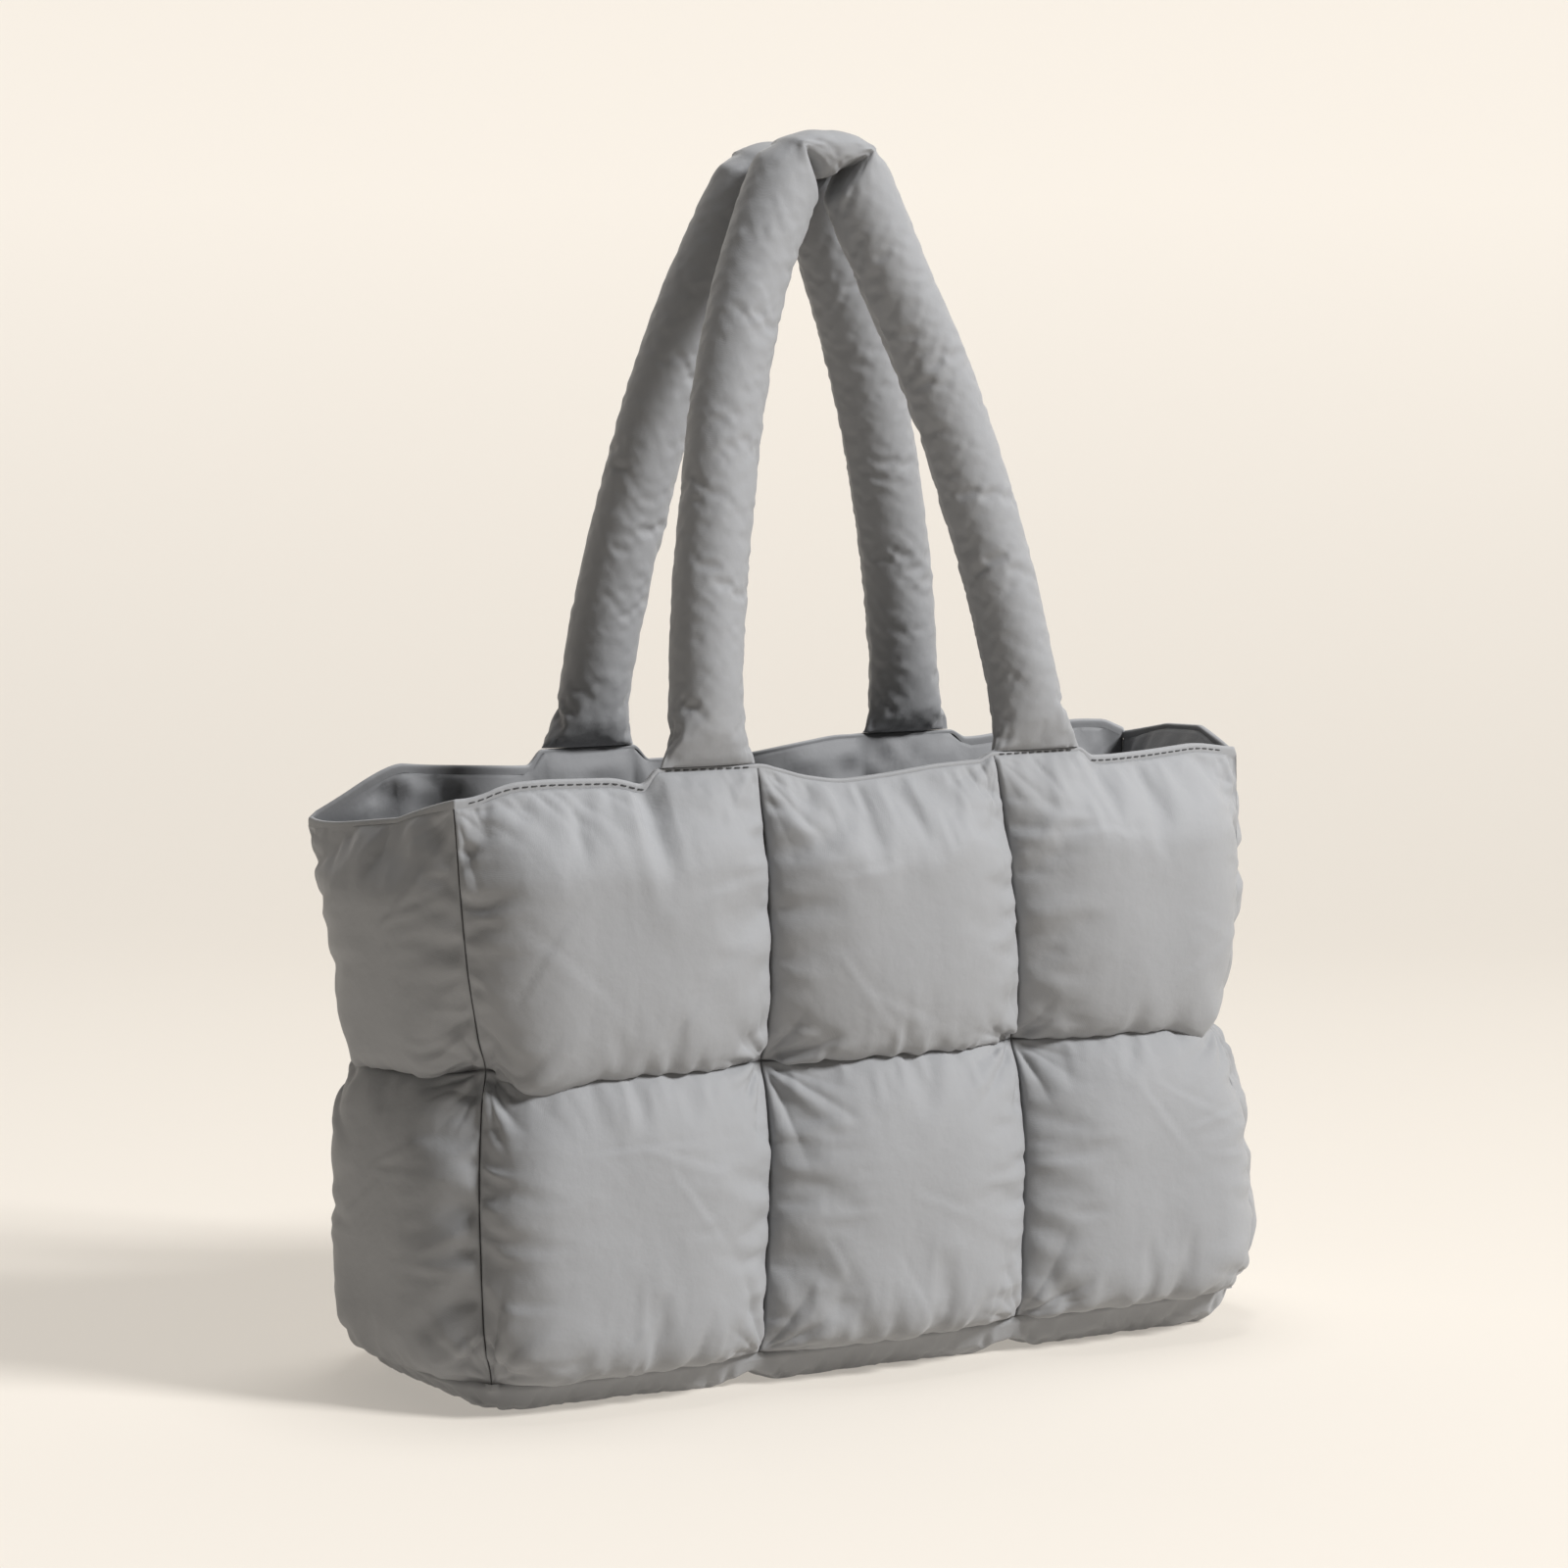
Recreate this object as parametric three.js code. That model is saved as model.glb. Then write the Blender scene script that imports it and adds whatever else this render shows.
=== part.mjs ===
// Puffer tote bag: padded, quilted walls around an open compartment, and two stuffed handles.
// Millimetres, +Z up. The origin is on the floor under the middle of the base, and -Y is the front.
// The front and back are quilted in three columns and two rows, each side in two rows and the base
// in three columns. A hem runs round the mouth and rises under each end of a handle.
import * as THREE from 'three';

// Seam to seam sizes of the body, at its three levels
const BASE_WIDTH = 402;
const BASE_DEPTH = 132;
const WAIST_WIDTH = 400;
const WAIST_DEPTH = 110;
const MOUTH_WIDTH = 410;
const MOUTH_DEPTH = 93;

// Heights above the floor
const BODY_HEIGHT = 268;
const ROW_SEAM_HEIGHT = 144;
const BASE_SEAM_HEIGHT = 13.5;
const BASE_SEAM_CLIMB = 6;
const ROW_SEAM_DROP = 3;
const ROW_SEAM_DROP_REACH = 32;
const ROW_SEAM_ARCH = 3.5;

// Width of the middle column between its two quilting seams
const BASE_COLUMN = 136;
const WAIST_COLUMN = 134;
const MOUTH_COLUMN = 124;
// How far the front's upright seams lean to the right at the waist
const FRONT_SEAM_LEAN = 10;

// How far a wall bows out in the middle of its width
const FRONT_BOW_AT_MOUTH = 13;
const FRONT_BOW_AT_WAIST = 9;
const FRONT_BOW_AT_BASE = 3;
const SIDE_BOW = 4;

// The back left corner of the mouth has slumped outwards and down, and the waist a little with it
const SLUMP_OUT = 18;
const SLUMP_BACK = 17;
const SLUMP_DOWN = 16;
const SLUMP_AT_WAIST = 0.4;

// Padding: how far a puff stands out of its seams, and in towards the compartment
const WALL_PUFF = 27;
const LEFT_SIDE_PUFF = 20;
const RIGHT_SIDE_PUFF = 18;
const LINING_PUFF = 7;
const BASE_LINING_PUFF = 5;
const PUFF_SAG = 6;
const ROW_SEAM_SAG = 3;
const SEAM_TUCK = 8;
const CORNER_TUCK = 4;
const SEAM_THICKNESS = 3;

// Distances over which a puff rises to its full depth
const QUILT_REACH = 58;
const CORNER_REACH = 54;
const HEM_REACH = 50;
const LINING_REACH = 45;
const TUCK_REACH = 34;
const BASE_EDGE_REACH = 15;
const BASE_EDGE_REACH_AT_RIGHT = 26;
const BASE_SEAM_RISE = 7;

// Gathers: small folds in the puffs that run square to the upright seams
const GATHER_DEPTH = 1.6;
const GATHERS_A_ROW = 3;

// Hem and handles
const HEM_HEIGHT = 9;
const HEM_THICKNESS = 3;
const TAB_RISE = 10;
const TAB_FALL = 9;
const HANDLE_DIAMETER = 33;
const FRONT_HANDLE_RISE = 273;
const BACK_HANDLE_RISE = 269;
const HANDLE_END_WIDTH = 48;
const HANDLE_END_THICKNESS = 7;
const FRONT_HANDLE_LEAN = 8.5;
const BACK_HANDLE_LEAN = 5;
const HANDLE_APEX_CLEARANCE = 1;

// Gap between pieces that are sewn together
const SEAM_GAP = 0.3;

// Places closer together than this count as the same
const ROUNDING = 1e-6;

// Mesh fineness
const ROW_STEPS = 9;
const TAB_STEPS = 4;
const PLAIN_STEPS = 5;
const MIDDLE_STEPS = 10;
const SIDE_STEPS = 10;
const HANDLE_STEPS = 56;
const HANDLE_SIDES = 12;

// Height of the mouth's edge along each wall. across runs from -1 at the wall's left end, seen from
// outside, to 1 at its right end, and rise is a share of TAB_RISE above BODY_HEIGHT.
const MOUTH_LINES = {
  front: [
    { across: -1.0, rise: 0.0 },
    { across: -0.93, rise: 0.5 },
    { across: -0.8, rise: 0.7 },
    { across: -0.68, rise: 0.5 },
    { across: -0.57, rise: -0.1 },
    { across: -0.24, rise: 0.2 },
    { across: -0.12, rise: 0.0 },
    { across: 0.05, rise: 0.35 },
    { across: 0.24, rise: 0.4 },
    { across: 0.6, rise: 0.1 },
    { across: 0.74, rise: 0.5 },
    { across: 0.88, rise: 0.8 },
    { across: 1.0, rise: 0.3 },
  ],
  right: [
    { across: -1.0, rise: 0.3 },
    { across: -0.3, rise: 1.3 },
    { across: 0.3, rise: 1.2 },
    { across: 1.0, rise: 0.6 },
  ],
  back: [
    { across: -1.0, rise: 0.6 },
    { across: -0.97, rise: 1.2 },
    { across: -0.87, rise: 1.3 },
    { across: -0.6, rise: 0.6 },
    { across: -0.24, rise: 1.0 },
    { across: 0.0, rise: 0.3 },
    { across: 0.24, rise: 0.3 },
    { across: 0.6, rise: 0.3 },
    { across: 0.84, rise: 0.6 },
    { across: 0.93, rise: 0.8 },
    { across: 1.0, rise: 0.0 },
  ],
  left: [
    { across: -1.0, rise: 0.0 },
    { across: -0.4, rise: -0.3 },
    { across: 0.3, rise: -0.6 },
    { across: 1.0, rise: 0.0 },
  ],
};

// The handle's centreline from an end up to the apex. rise is a share of the handle's rise above
// the tab, spread one of half the distance between its ends, and lean one of the distance by which
// both its legs lean to the left.
const HANDLE_ROUTE = [
  { rise: 0.0, spread: 1.0, lean: 0.0 },
  { rise: 0.06, spread: 0.985, lean: 0.1 },
  { rise: 0.18, spread: 0.93, lean: 0.25 },
  { rise: 0.31, spread: 0.855, lean: 0.35 },
  { rise: 0.44, spread: 0.76, lean: 0.5 },
  { rise: 0.54, spread: 0.68, lean: 0.65 },
  { rise: 0.65, spread: 0.58, lean: 0.8 },
  { rise: 0.76, spread: 0.46, lean: 1.0 },
  { rise: 0.865, spread: 0.34, lean: 0.95 },
  { rise: 0.94, spread: 0.25, lean: 0.85 },
  { rise: 0.985, spread: 0.15, lean: 0.7 },
  { rise: 1.0, spread: 0.0, lean: 0.6 },
];

// The handle's section from an end to the apex. along is a share of the half length; wide lies in
// the plane of the handle and thick square to it, both as shares of HANDLE_DIAMETER. The first row
// is the flat sewn end, whose sizes are HANDLE_END_WIDTH and HANDLE_END_THICKNESS.
const HANDLE_SECTIONS = [
  { along: 0.045, wide: 1.2, thick: 0.72 },
  { along: 0.12, wide: 1.03, thick: 0.96 },
  { along: 0.3, wide: 0.98, thick: 1.0 },
  { along: 0.52, wide: 1.0, thick: 0.97 },
  { along: 0.72, wide: 0.96, thick: 1.02 },
  { along: 0.86, wide: 1.0, thick: 1.0 },
  { along: 0.93, wide: 0.78, thick: 1.04 },
  { along: 1.0, wide: 0.62, thick: 1.06 },
];

const lerp = THREE.MathUtils.lerp;
const clampShare = (value) => Math.min(1, Math.max(0, value));
const smoothShare = (value) => THREE.MathUtils.smoothstep(value, 0, 1);

// Value of a table's column at a place in another column, by straight lines between the rows.
function lookUp(rows, key, place, column) {
  const next = rows.findIndex((row) => row[key] >= place);
  if (next === 0) return rows[0][column];
  if (next < 0) return rows[rows.length - 1][column];
  const low = rows[next - 1];
  const high = rows[next];
  return lerp(low[column], high[column], (place - low[key]) / (high[key] - low[key]));
}

// The four corner seams of a level, going round the bag as its walls do.
function cornersOf(width, depth) {
  return {
    frontLeft: new THREE.Vector2(-width / 2, -depth / 2),
    frontRight: new THREE.Vector2(width / 2, -depth / 2),
    backRight: new THREE.Vector2(width / 2, depth / 2),
    backLeft: new THREE.Vector2(-width / 2, depth / 2),
  };
}

const LEVELS = {
  base: {
    corners: cornersOf(BASE_WIDTH, BASE_DEPTH),
    column: BASE_COLUMN,
    bow: FRONT_BOW_AT_BASE,
    slump: 0,
  },
  waist: {
    corners: cornersOf(WAIST_WIDTH, WAIST_DEPTH),
    column: WAIST_COLUMN,
    bow: FRONT_BOW_AT_WAIST,
    slump: SLUMP_AT_WAIST,
  },
  mouth: {
    corners: cornersOf(MOUTH_WIDTH, MOUTH_DEPTH),
    column: MOUTH_COLUMN,
    bow: FRONT_BOW_AT_MOUTH,
    slump: 1,
  },
};

// Each wall runs from its left corner to its right one, seen from outside. columns counts its
// quilted columns.
const WALLS = {
  front: { from: 'frontLeft', to: 'frontRight', before: 'left', after: 'right', columns: 3 },
  right: { from: 'frontRight', to: 'backRight', before: 'front', after: 'back', columns: 1 },
  back: { from: 'backRight', to: 'backLeft', before: 'right', after: 'left', columns: 3 },
  left: { from: 'backLeft', to: 'frontLeft', before: 'back', after: 'front', columns: 1 },
};
WALLS.front.puff = WALL_PUFF;
WALLS.right.puff = RIGHT_SIDE_PUFF;
WALLS.back.puff = WALL_PUFF;
WALLS.left.puff = LEFT_SIDE_PUFF;

// Where a wall's columns begin and end at a level, in mm along its chord from its left corner.
function columnEdges(wall, level) {
  const length = chordOf(wall, level).length();
  if (wall.columns === 1) return [0, length];
  const middle = length / 2 + (wall === WALLS.front && level === LEVELS.waist ? FRONT_SEAM_LEAN : 0);
  return [0, middle - level.column / 2, middle + level.column / 2, length];
}

function chordOf(wall, level) {
  return level.corners[wall.to].clone().sub(level.corners[wall.from]);
}

// A wall's outward direction, square to its chord.
function outwardOf(wall, level) {
  const chord = chordOf(wall, level).normalize();
  return new THREE.Vector2(chord.y, -chord.x);
}

// The point on the seam surface of a wall at one level, and the direction in which it is padded
// there. At a corner that direction halves the angle between the two walls, so they meet in a mitre.
function planAt(name, levelName, column, share) {
  const wall = WALLS[name];
  const level = LEVELS[levelName];
  const edges = columnEdges(wall, level);
  const length = edges[edges.length - 1];
  const gapShare = SEAM_GAP / Math.SQRT2;
  const place = lerp(edges[column], edges[column + 1], share);
  const along = THREE.MathUtils.clamp(place, gapShare, length - gapShare);
  const across = (2 * along) / length - 1;
  const bow = wall.columns > 1 ? level.bow : SIDE_BOW;
  const outward = outwardOf(wall, level);
  const chord = chordOf(wall, level).normalize();
  const point = level.corners[wall.from].clone().addScaledVector(chord, along);
  point.addScaledVector(outward, bow * (1 - across * across));
  const slump = slumpShare(name, levelName, along);
  point.x -= SLUMP_OUT * slump;
  point.y += SLUMP_BACK * slump;
  const slope = (4 * bow * across) / length;
  const square = outward.clone().addScaledVector(chord, slope).normalize();
  const toCorner = Math.min(along, length - along);
  const neighbour = WALLS[along < length / 2 ? wall.before : wall.after];
  const mitre = outward.clone().add(outwardOf(neighbour, level)).normalize();
  const reach = Math.min(CORNER_REACH, length / 2);
  const normal = mitre.lerp(square, smoothShare(toCorner / reach)).normalize();
  return { point, normal, across, along };
}

// How much of the back left corner's slump a place on a wall takes. It dies out along the whole
// side, and along a quarter of what the back has between that corner and the tab.
function slumpShare(name, levelName, along) {
  const level = LEVELS[levelName];
  const edges = columnEdges(WALLS[name], level);
  if (name === 'left') return level.slump * smoothShare(1 - along / edges[1]);
  if (name !== 'back') return 0;
  const free = edges[3] - edges[2] - HANDLE_END_WIDTH - TAB_FALL;
  return level.slump * clampShare(1 - (4 * (edges[3] - along)) / free) ** 2;
}

// Whether a place on a wall lies on one of the two level tabs that carry a handle's ends.
function onTab(wall, along) {
  if (wall.columns === 1) return false;
  const edges = columnEdges(wall, LEVELS.mouth);
  const outwards = Math.max(edges[1] - along, along - edges[2]);
  return outwards > -ROUNDING && outwards < HANDLE_END_WIDTH + ROUNDING;
}

// Height of the mouth's edge along a wall.
function mouthHeight(name, column, share) {
  const { across, along } = planAt(name, 'mouth', column, share);
  const rise = onTab(WALLS[name], along) ? 1 : lookUp(MOUTH_LINES[name], 'across', across, 'rise');
  return BODY_HEIGHT + TAB_RISE * rise - SLUMP_DOWN * slumpShare(name, 'mouth', along);
}

// Height of the seam between the walls and the base, which climbs from left to right.
function baseSeamHeight(x) {
  return BASE_SEAM_HEIGHT + BASE_SEAM_CLIMB * (x / BASE_WIDTH + 0.5);
}

// Height of the seam between the two rows. It arches between the upright seams of the front and the
// back, hangs on the sides and drops a little at the right end.
function rowSeamHeight(name, x, share) {
  const rise = WALLS[name].columns === 1 ? -ROW_SEAM_SAG : ROW_SEAM_ARCH;
  const outer = 1 - (WAIST_WIDTH / 2 - x) / ROW_SEAM_DROP_REACH;
  return ROW_SEAM_HEIGHT + rise * Math.sin(Math.PI * share) - ROW_SEAM_DROP * smoothShare(outer);
}

// The seam surface of a wall. place holds the quilted cell's column and row, and share and up, its
// place in that cell. The cell's size and its corner edges come back with the point.
function wallAt(name, place) {
  const { column, share, row, up } = place;
  const wall = WALLS[name];
  const waist = planAt(name, 'waist', column, share);
  const rowSeam = rowSeamHeight(name, waist.point.x, share);
  const end = planAt(name, row === 0 ? 'base' : 'mouth', column, share);
  const foot = baseSeamHeight(end.point.x) + SEAM_GAP / 2;
  const top = mouthHeight(name, column, share) - HEM_HEIGHT - SEAM_GAP / 2;
  const [low, high] = row === 0 ? [end, waist] : [waist, end];
  const [lowHeight, highHeight] = row === 0 ? [foot, rowSeam] : [rowSeam, top];
  const point = low.point.lerp(high.point, up);
  const normal = low.normal.lerp(high.normal, up).normalize();
  const edges = columnEdges(wall, LEVELS.waist);
  return {
    point: new THREE.Vector3(point.x, point.y, lerp(lowHeight, highHeight, up)),
    normal: new THREE.Vector3(normal.x, normal.y, 0),
    width: edges[column + 1] - edges[column],
    height: highHeight - lowHeight,
    startsAtCorner: column === 0,
    endsAtCorner: column === wall.columns - 1,
  };
}

// A puff's rise from one of its edges: steep at a quilting seam, gentle at a corner or in the lining.
const steepRise = (distance, reach) => Math.sqrt(1 - (1 - clampShare(distance / reach)) ** 2.2);
const gentleRise = (distance, reach) => Math.sin((Math.PI / 2) * clampShare(distance / reach));
const liningRise = (distance, reach) => smoothShare(distance / reach);

// How much of its full depth a puff has outside at a place in its cell.
function puffShare(cell, { share, row, up }) {
  const { width, height, startsAtCorner, endsAtCorner } = cell;
  const edgeRise = (atCorner, distance) =>
    atCorner
      ? gentleRise(distance, Math.min(CORNER_REACH, width / 2))
      : steepRise(distance, Math.min(QUILT_REACH, width / 2));
  const above = (1 - up) * height;
  const topRise =
    row === 1
      ? gentleRise(above, Math.min(HEM_REACH, height / 2))
      : steepRise(above, Math.min(QUILT_REACH, height / 2));
  return (
    edgeRise(startsAtCorner, share * width) *
    edgeRise(endsAtCorner, (1 - share) * width) *
    steepRise(up * height, Math.min(QUILT_REACH, height / 2)) *
    topRise
  );
}

// The same for the lining, which swells evenly from all four edges.
function liningShare({ width, height }, { share, up }) {
  const reach = Math.min(LINING_REACH, width / 2, height / 2);
  return (
    liningRise(share * width, reach) *
    liningRise((1 - share) * width, reach) *
    liningRise(up * height, reach) *
    liningRise((1 - up) * height, reach)
  );
}

// Small folds that run in from the upright seams and die out towards the middle of the puff.
function gatherAt({ share, row, up }) {
  const across = Math.sin(Math.PI * share);
  const strength = 4 * (1 - across) * across * Math.sin(Math.PI * up);
  return GATHER_DEPTH * strength * Math.cos(2 * Math.PI * (GATHERS_A_ROW * up + row / 3 + share / 2));
}

// How far the seam surface is pulled in near the crossings of the row seam with the upright seams.
function tuckAt(cell, { share, row, up }) {
  const rise = (row === 0 ? 1 - up : up) * cell.height;
  const pull = (atCorner, run) =>
    (atCorner ? CORNER_TUCK : SEAM_TUCK) * Math.exp(-(run * run + rise * rise) / TUCK_REACH ** 2);
  return Math.max(
    pull(cell.startsAtCorner, share * cell.width),
    pull(cell.endsAtCorner, (1 - share) * cell.width),
  );
}

// A point on the outside (side 1) or the lining (side -1) of a wall.
function paddedWallPoint(name, place, side) {
  const cell = wallAt(name, place);
  const { point, normal } = cell;
  point.addScaledVector(normal, -tuckAt(cell, place));
  if (side > 0) {
    const puff = puffShare(cell, place);
    point.addScaledVector(normal, SEAM_THICKNESS / 2 + WALLS[name].puff * puff + gatherAt(place));
    point.z -= PUFF_SAG * puff * Math.sin(Math.PI * place.up);
  } else {
    point.addScaledVector(normal, -SEAM_THICKNESS / 2 - LINING_PUFF * liningShare(cell, place));
  }
  return point;
}

// A closed skin of two matching grids of points, the outside and the inside, joined along their rim.
// The outside faces the viewer when first runs to the right and second runs up.
function closedSheet(columns, rows, pointAt) {
  const across = columns + 1;
  const layer = across * (rows + 1);
  const positions = [];
  for (const side of [1, -1]) {
    for (let j = 0; j <= rows; j++) {
      for (let i = 0; i <= columns; i++) positions.push(...pointAt(i, j, side).toArray());
    }
  }
  const faces = [];
  const quad = (a, b, c, d) => faces.push(a, b, c, a, c, d);
  for (let j = 0; j < rows; j++) {
    for (let i = 0; i < columns; i++) {
      const a = j * across + i;
      quad(a, a + 1, a + across + 1, a + across);
      quad(layer + a, layer + a + across, layer + a + across + 1, layer + a + 1);
    }
  }
  for (let i = 0; i < columns; i++) {
    const top = rows * across + i;
    quad(i + 1, i, layer + i, layer + i + 1);
    quad(top, top + 1, layer + top + 1, layer + top);
  }
  for (let j = 0; j < rows; j++) {
    const left = j * across;
    const right = left + columns;
    quad(left, left + across, layer + left + across, layer + left);
    quad(right + across, right, layer + right, layer + right + across);
  }
  return solidGeometry(positions, faces);
}

function solidGeometry(positions, faces) {
  const geometry = new THREE.BufferGeometry();
  geometry.setAttribute('position', new THREE.Float32BufferAttribute(positions, 3));
  geometry.setIndex(faces);
  geometry.computeVertexNormals();
  return geometry;
}

// Places from 0 to 1, closer together near both ends.
function easedPlaces(steps) {
  return Array.from({ length: steps + 1 }, (_, k) => (1 - Math.cos((Math.PI * k) / steps)) / 2);
}

// Places across a column. An outer column of a quilted wall has one at the end of its tab, where
// the hem comes back down, so that the tab stays level under the handle.
function columnPlaces(name, column) {
  if (WALLS[name].columns === 1) return easedPlaces(SIDE_STEPS);
  if (column === 1) return easedPlaces(MIDDLE_STEPS);
  const edges = columnEdges(WALLS[name], LEVELS.mouth);
  const width = edges[column + 1] - edges[column];
  const tab = HANDLE_END_WIDTH / width;
  const fall = (HANDLE_END_WIDTH + TAB_FALL) / width;
  const places = [
    ...easedPlaces(TAB_STEPS).map((place) => place * tab),
    ...easedPlaces(PLAIN_STEPS).map((place) => fall + place * (1 - fall)),
  ];
  return column === 2 ? places : places.map((place) => 1 - place).reverse();
}

// All the places along a wall, as pairs of column and share.
function wallPlaces(name) {
  const places = [];
  for (let column = 0; column < WALLS[name].columns; column++) {
    const shares = columnPlaces(name, column);
    for (const share of column === 0 ? shares : shares.slice(1)) places.push({ column, share });
  }
  return places;
}

function wallPanel(name) {
  const across = wallPlaces(name);
  const up = [
    ...easedPlaces(ROW_STEPS).map((place) => ({ row: 0, up: place })),
    ...easedPlaces(ROW_STEPS).slice(1).map((place) => ({ row: 1, up: place })),
  ];
  return closedSheet(across.length - 1, up.length - 1, (i, j, side) =>
    paddedWallPoint(name, { ...across[i], ...up[j] }, side),
  );
}

// The hem: a closed band round the mouth, standing on the walls' top edges.
function mouthHem() {
  const ring = [];
  for (const name of Object.keys(WALLS)) {
    for (const { column, share } of wallPlaces(name).slice(0, -1)) {
      const { point, normal } = planAt(name, 'mouth', column, share);
      ring.push({ point, normal, top: mouthHeight(name, column, share) });
    }
  }
  const positions = [];
  for (const { point, normal, top } of ring) {
    const foot = top - HEM_HEIGHT + SEAM_GAP / 2;
    for (const [side, height] of [[1, foot], [1, top], [-1, top], [-1, foot]]) {
      const edge = point.clone().addScaledVector(normal, (side * HEM_THICKNESS) / 2);
      positions.push(edge.x, edge.y, height);
    }
  }
  const faces = [];
  for (let i = 0; i < ring.length; i++) {
    const here = 4 * i;
    const next = 4 * ((i + 1) % ring.length);
    for (let k = 0; k < 4; k++) {
      const turn = (k + 1) % 4;
      faces.push(here + k, next + k, next + turn, here + k, next + turn, here + turn);
    }
  }
  return solidGeometry(positions, faces);
}

// The base's outline at a place on a wall: the outside of that wall's bottom edge.
function baseEdge(name, column, share) {
  const { point, normal } = planAt(name, 'base', column, share);
  return point.addScaledVector(normal, SEAM_THICKNESS / 2);
}

// A point of the base between its front, back and side outlines. column and share run along the
// front, and depth from the front to the back.
function baseAt(column, share, depth) {
  const front = (c, s) => baseEdge('front', c, s);
  const back = (c, s) => baseEdge('back', 2 - c, 1 - s);
  const here = front(column, share).lerp(back(column, share), depth);
  const left = baseEdge('left', 0, 1 - depth);
  const right = baseEdge('right', 0, depth);
  const ends = [front(0, 0).lerp(back(0, 0), depth), front(2, 1).lerp(back(2, 1), depth)];
  const along = (front(column, share).x - front(0, 0).x) / (front(2, 1).x - front(0, 0).x);
  here.addScaledVector(left.sub(ends[0]), 1 - along);
  return here.addScaledVector(right.sub(ends[1]), along);
}

// A puff's edge on the underside: a quarter of a circle from 0 to 1.
const roundRise = (distance, reach) => Math.sqrt(1 - (1 - clampShare(distance / reach)) ** 2);

// The base is drawn as seen from below, so that its outside faces down.
function basePanel() {
  const across = wallPlaces('front');
  const depths = easedPlaces(SIDE_STEPS);
  const columns = columnEdges(WALLS.front, LEVELS.base);
  return closedSheet(depths.length - 1, across.length - 1, (i, j, side) => {
    const { column, share } = across[j];
    const depth = depths[i];
    const point = baseAt(column, share, depth);
    const top = baseSeamHeight(point.x) - SEAM_GAP / 2;
    const along = lerp(columns[column], columns[column + 1], share);
    const toEnd = Math.min(along, columns[3] - along);
    const toEdge = Math.min(toEnd, Math.min(depth, 1 - depth) * BASE_DEPTH);
    const toQuilting = Math.min(Math.abs(along - columns[1]), Math.abs(along - columns[2]));
    if (side < 0) {
      const swell = liningRise(toEdge, LINING_REACH) * liningRise(toQuilting, LINING_REACH);
      return new THREE.Vector3(point.x, point.y, top + BASE_LINING_PUFF * swell);
    }
    const rounding = lerp(BASE_EDGE_REACH, BASE_EDGE_REACH_AT_RIGHT, along / columns[3]);
    const puffed = roundRise(toEdge, rounding);
    const pinch = BASE_SEAM_RISE * (1 - roundRise(toQuilting, BASE_EDGE_REACH)) * puffed;
    return new THREE.Vector3(point.x, point.y, (top - SEAM_THICKNESS) * (1 - puffed) + pinch);
  });
}

// The places of a handle's two ends and the middle of its apex, and how far its legs lean.
function handleFrame(name) {
  const edges = columnEdges(WALLS[name], LEVELS.mouth);
  const middle = HANDLE_END_WIDTH / 2 / (edges[3] - edges[2]);
  const apexThickness = HANDLE_DIAMETER * HANDLE_SECTIONS[HANDLE_SECTIONS.length - 1].thick;
  const front = name === 'front';
  const seat = BODY_HEIGHT + TAB_RISE + SEAM_GAP;
  const ends = [planAt(name, 'mouth', 0, 1 - middle), planAt(name, 'mouth', 2, middle)].map((plan) => ({
    point: new THREE.Vector3(plan.point.x, plan.point.y, seat),
    normal: new THREE.Vector3(plan.normal.x, plan.normal.y, 0),
  }));
  const apex = new THREE.Vector3(
    (ends[0].point.x + ends[1].point.x) / 2,
    ((front ? -1 : 1) * (apexThickness + HANDLE_APEX_CLEARANCE)) / 2,
    seat + (front ? FRONT_HANDLE_RISE : BACK_HANDLE_RISE),
  );
  return { ends, apex, leaning: front ? FRONT_HANDLE_LEAN : BACK_HANDLE_LEAN };
}

// The centreline of a handle, from one end over the apex to the other.
function handleCurve({ ends, apex, leaning }) {
  const leg = (end) =>
    HANDLE_ROUTE.map(
      ({ rise, spread, lean }) =>
        new THREE.Vector3(
          lerp(apex.x, end.point.x, spread) - leaning * lean,
          lerp(end.point.y, apex.y, rise),
          lerp(end.point.z, apex.z, rise),
        ),
    );
  const points = [...leg(ends[0]), ...leg(ends[1]).reverse().slice(1)];
  return new THREE.CatmullRomCurve3(points, false, 'centripetal');
}

function handleSection(fromEnd) {
  const rows = [
    { along: 0, wide: HANDLE_END_WIDTH / HANDLE_DIAMETER, thick: HANDLE_END_THICKNESS / HANDLE_DIAMETER },
    ...HANDLE_SECTIONS,
  ];
  return {
    wide: HANDLE_DIAMETER * lookUp(rows, 'along', fromEnd, 'wide'),
    thick: HANDLE_DIAMETER * lookUp(rows, 'along', fromEnd, 'thick'),
  };
}

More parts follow.
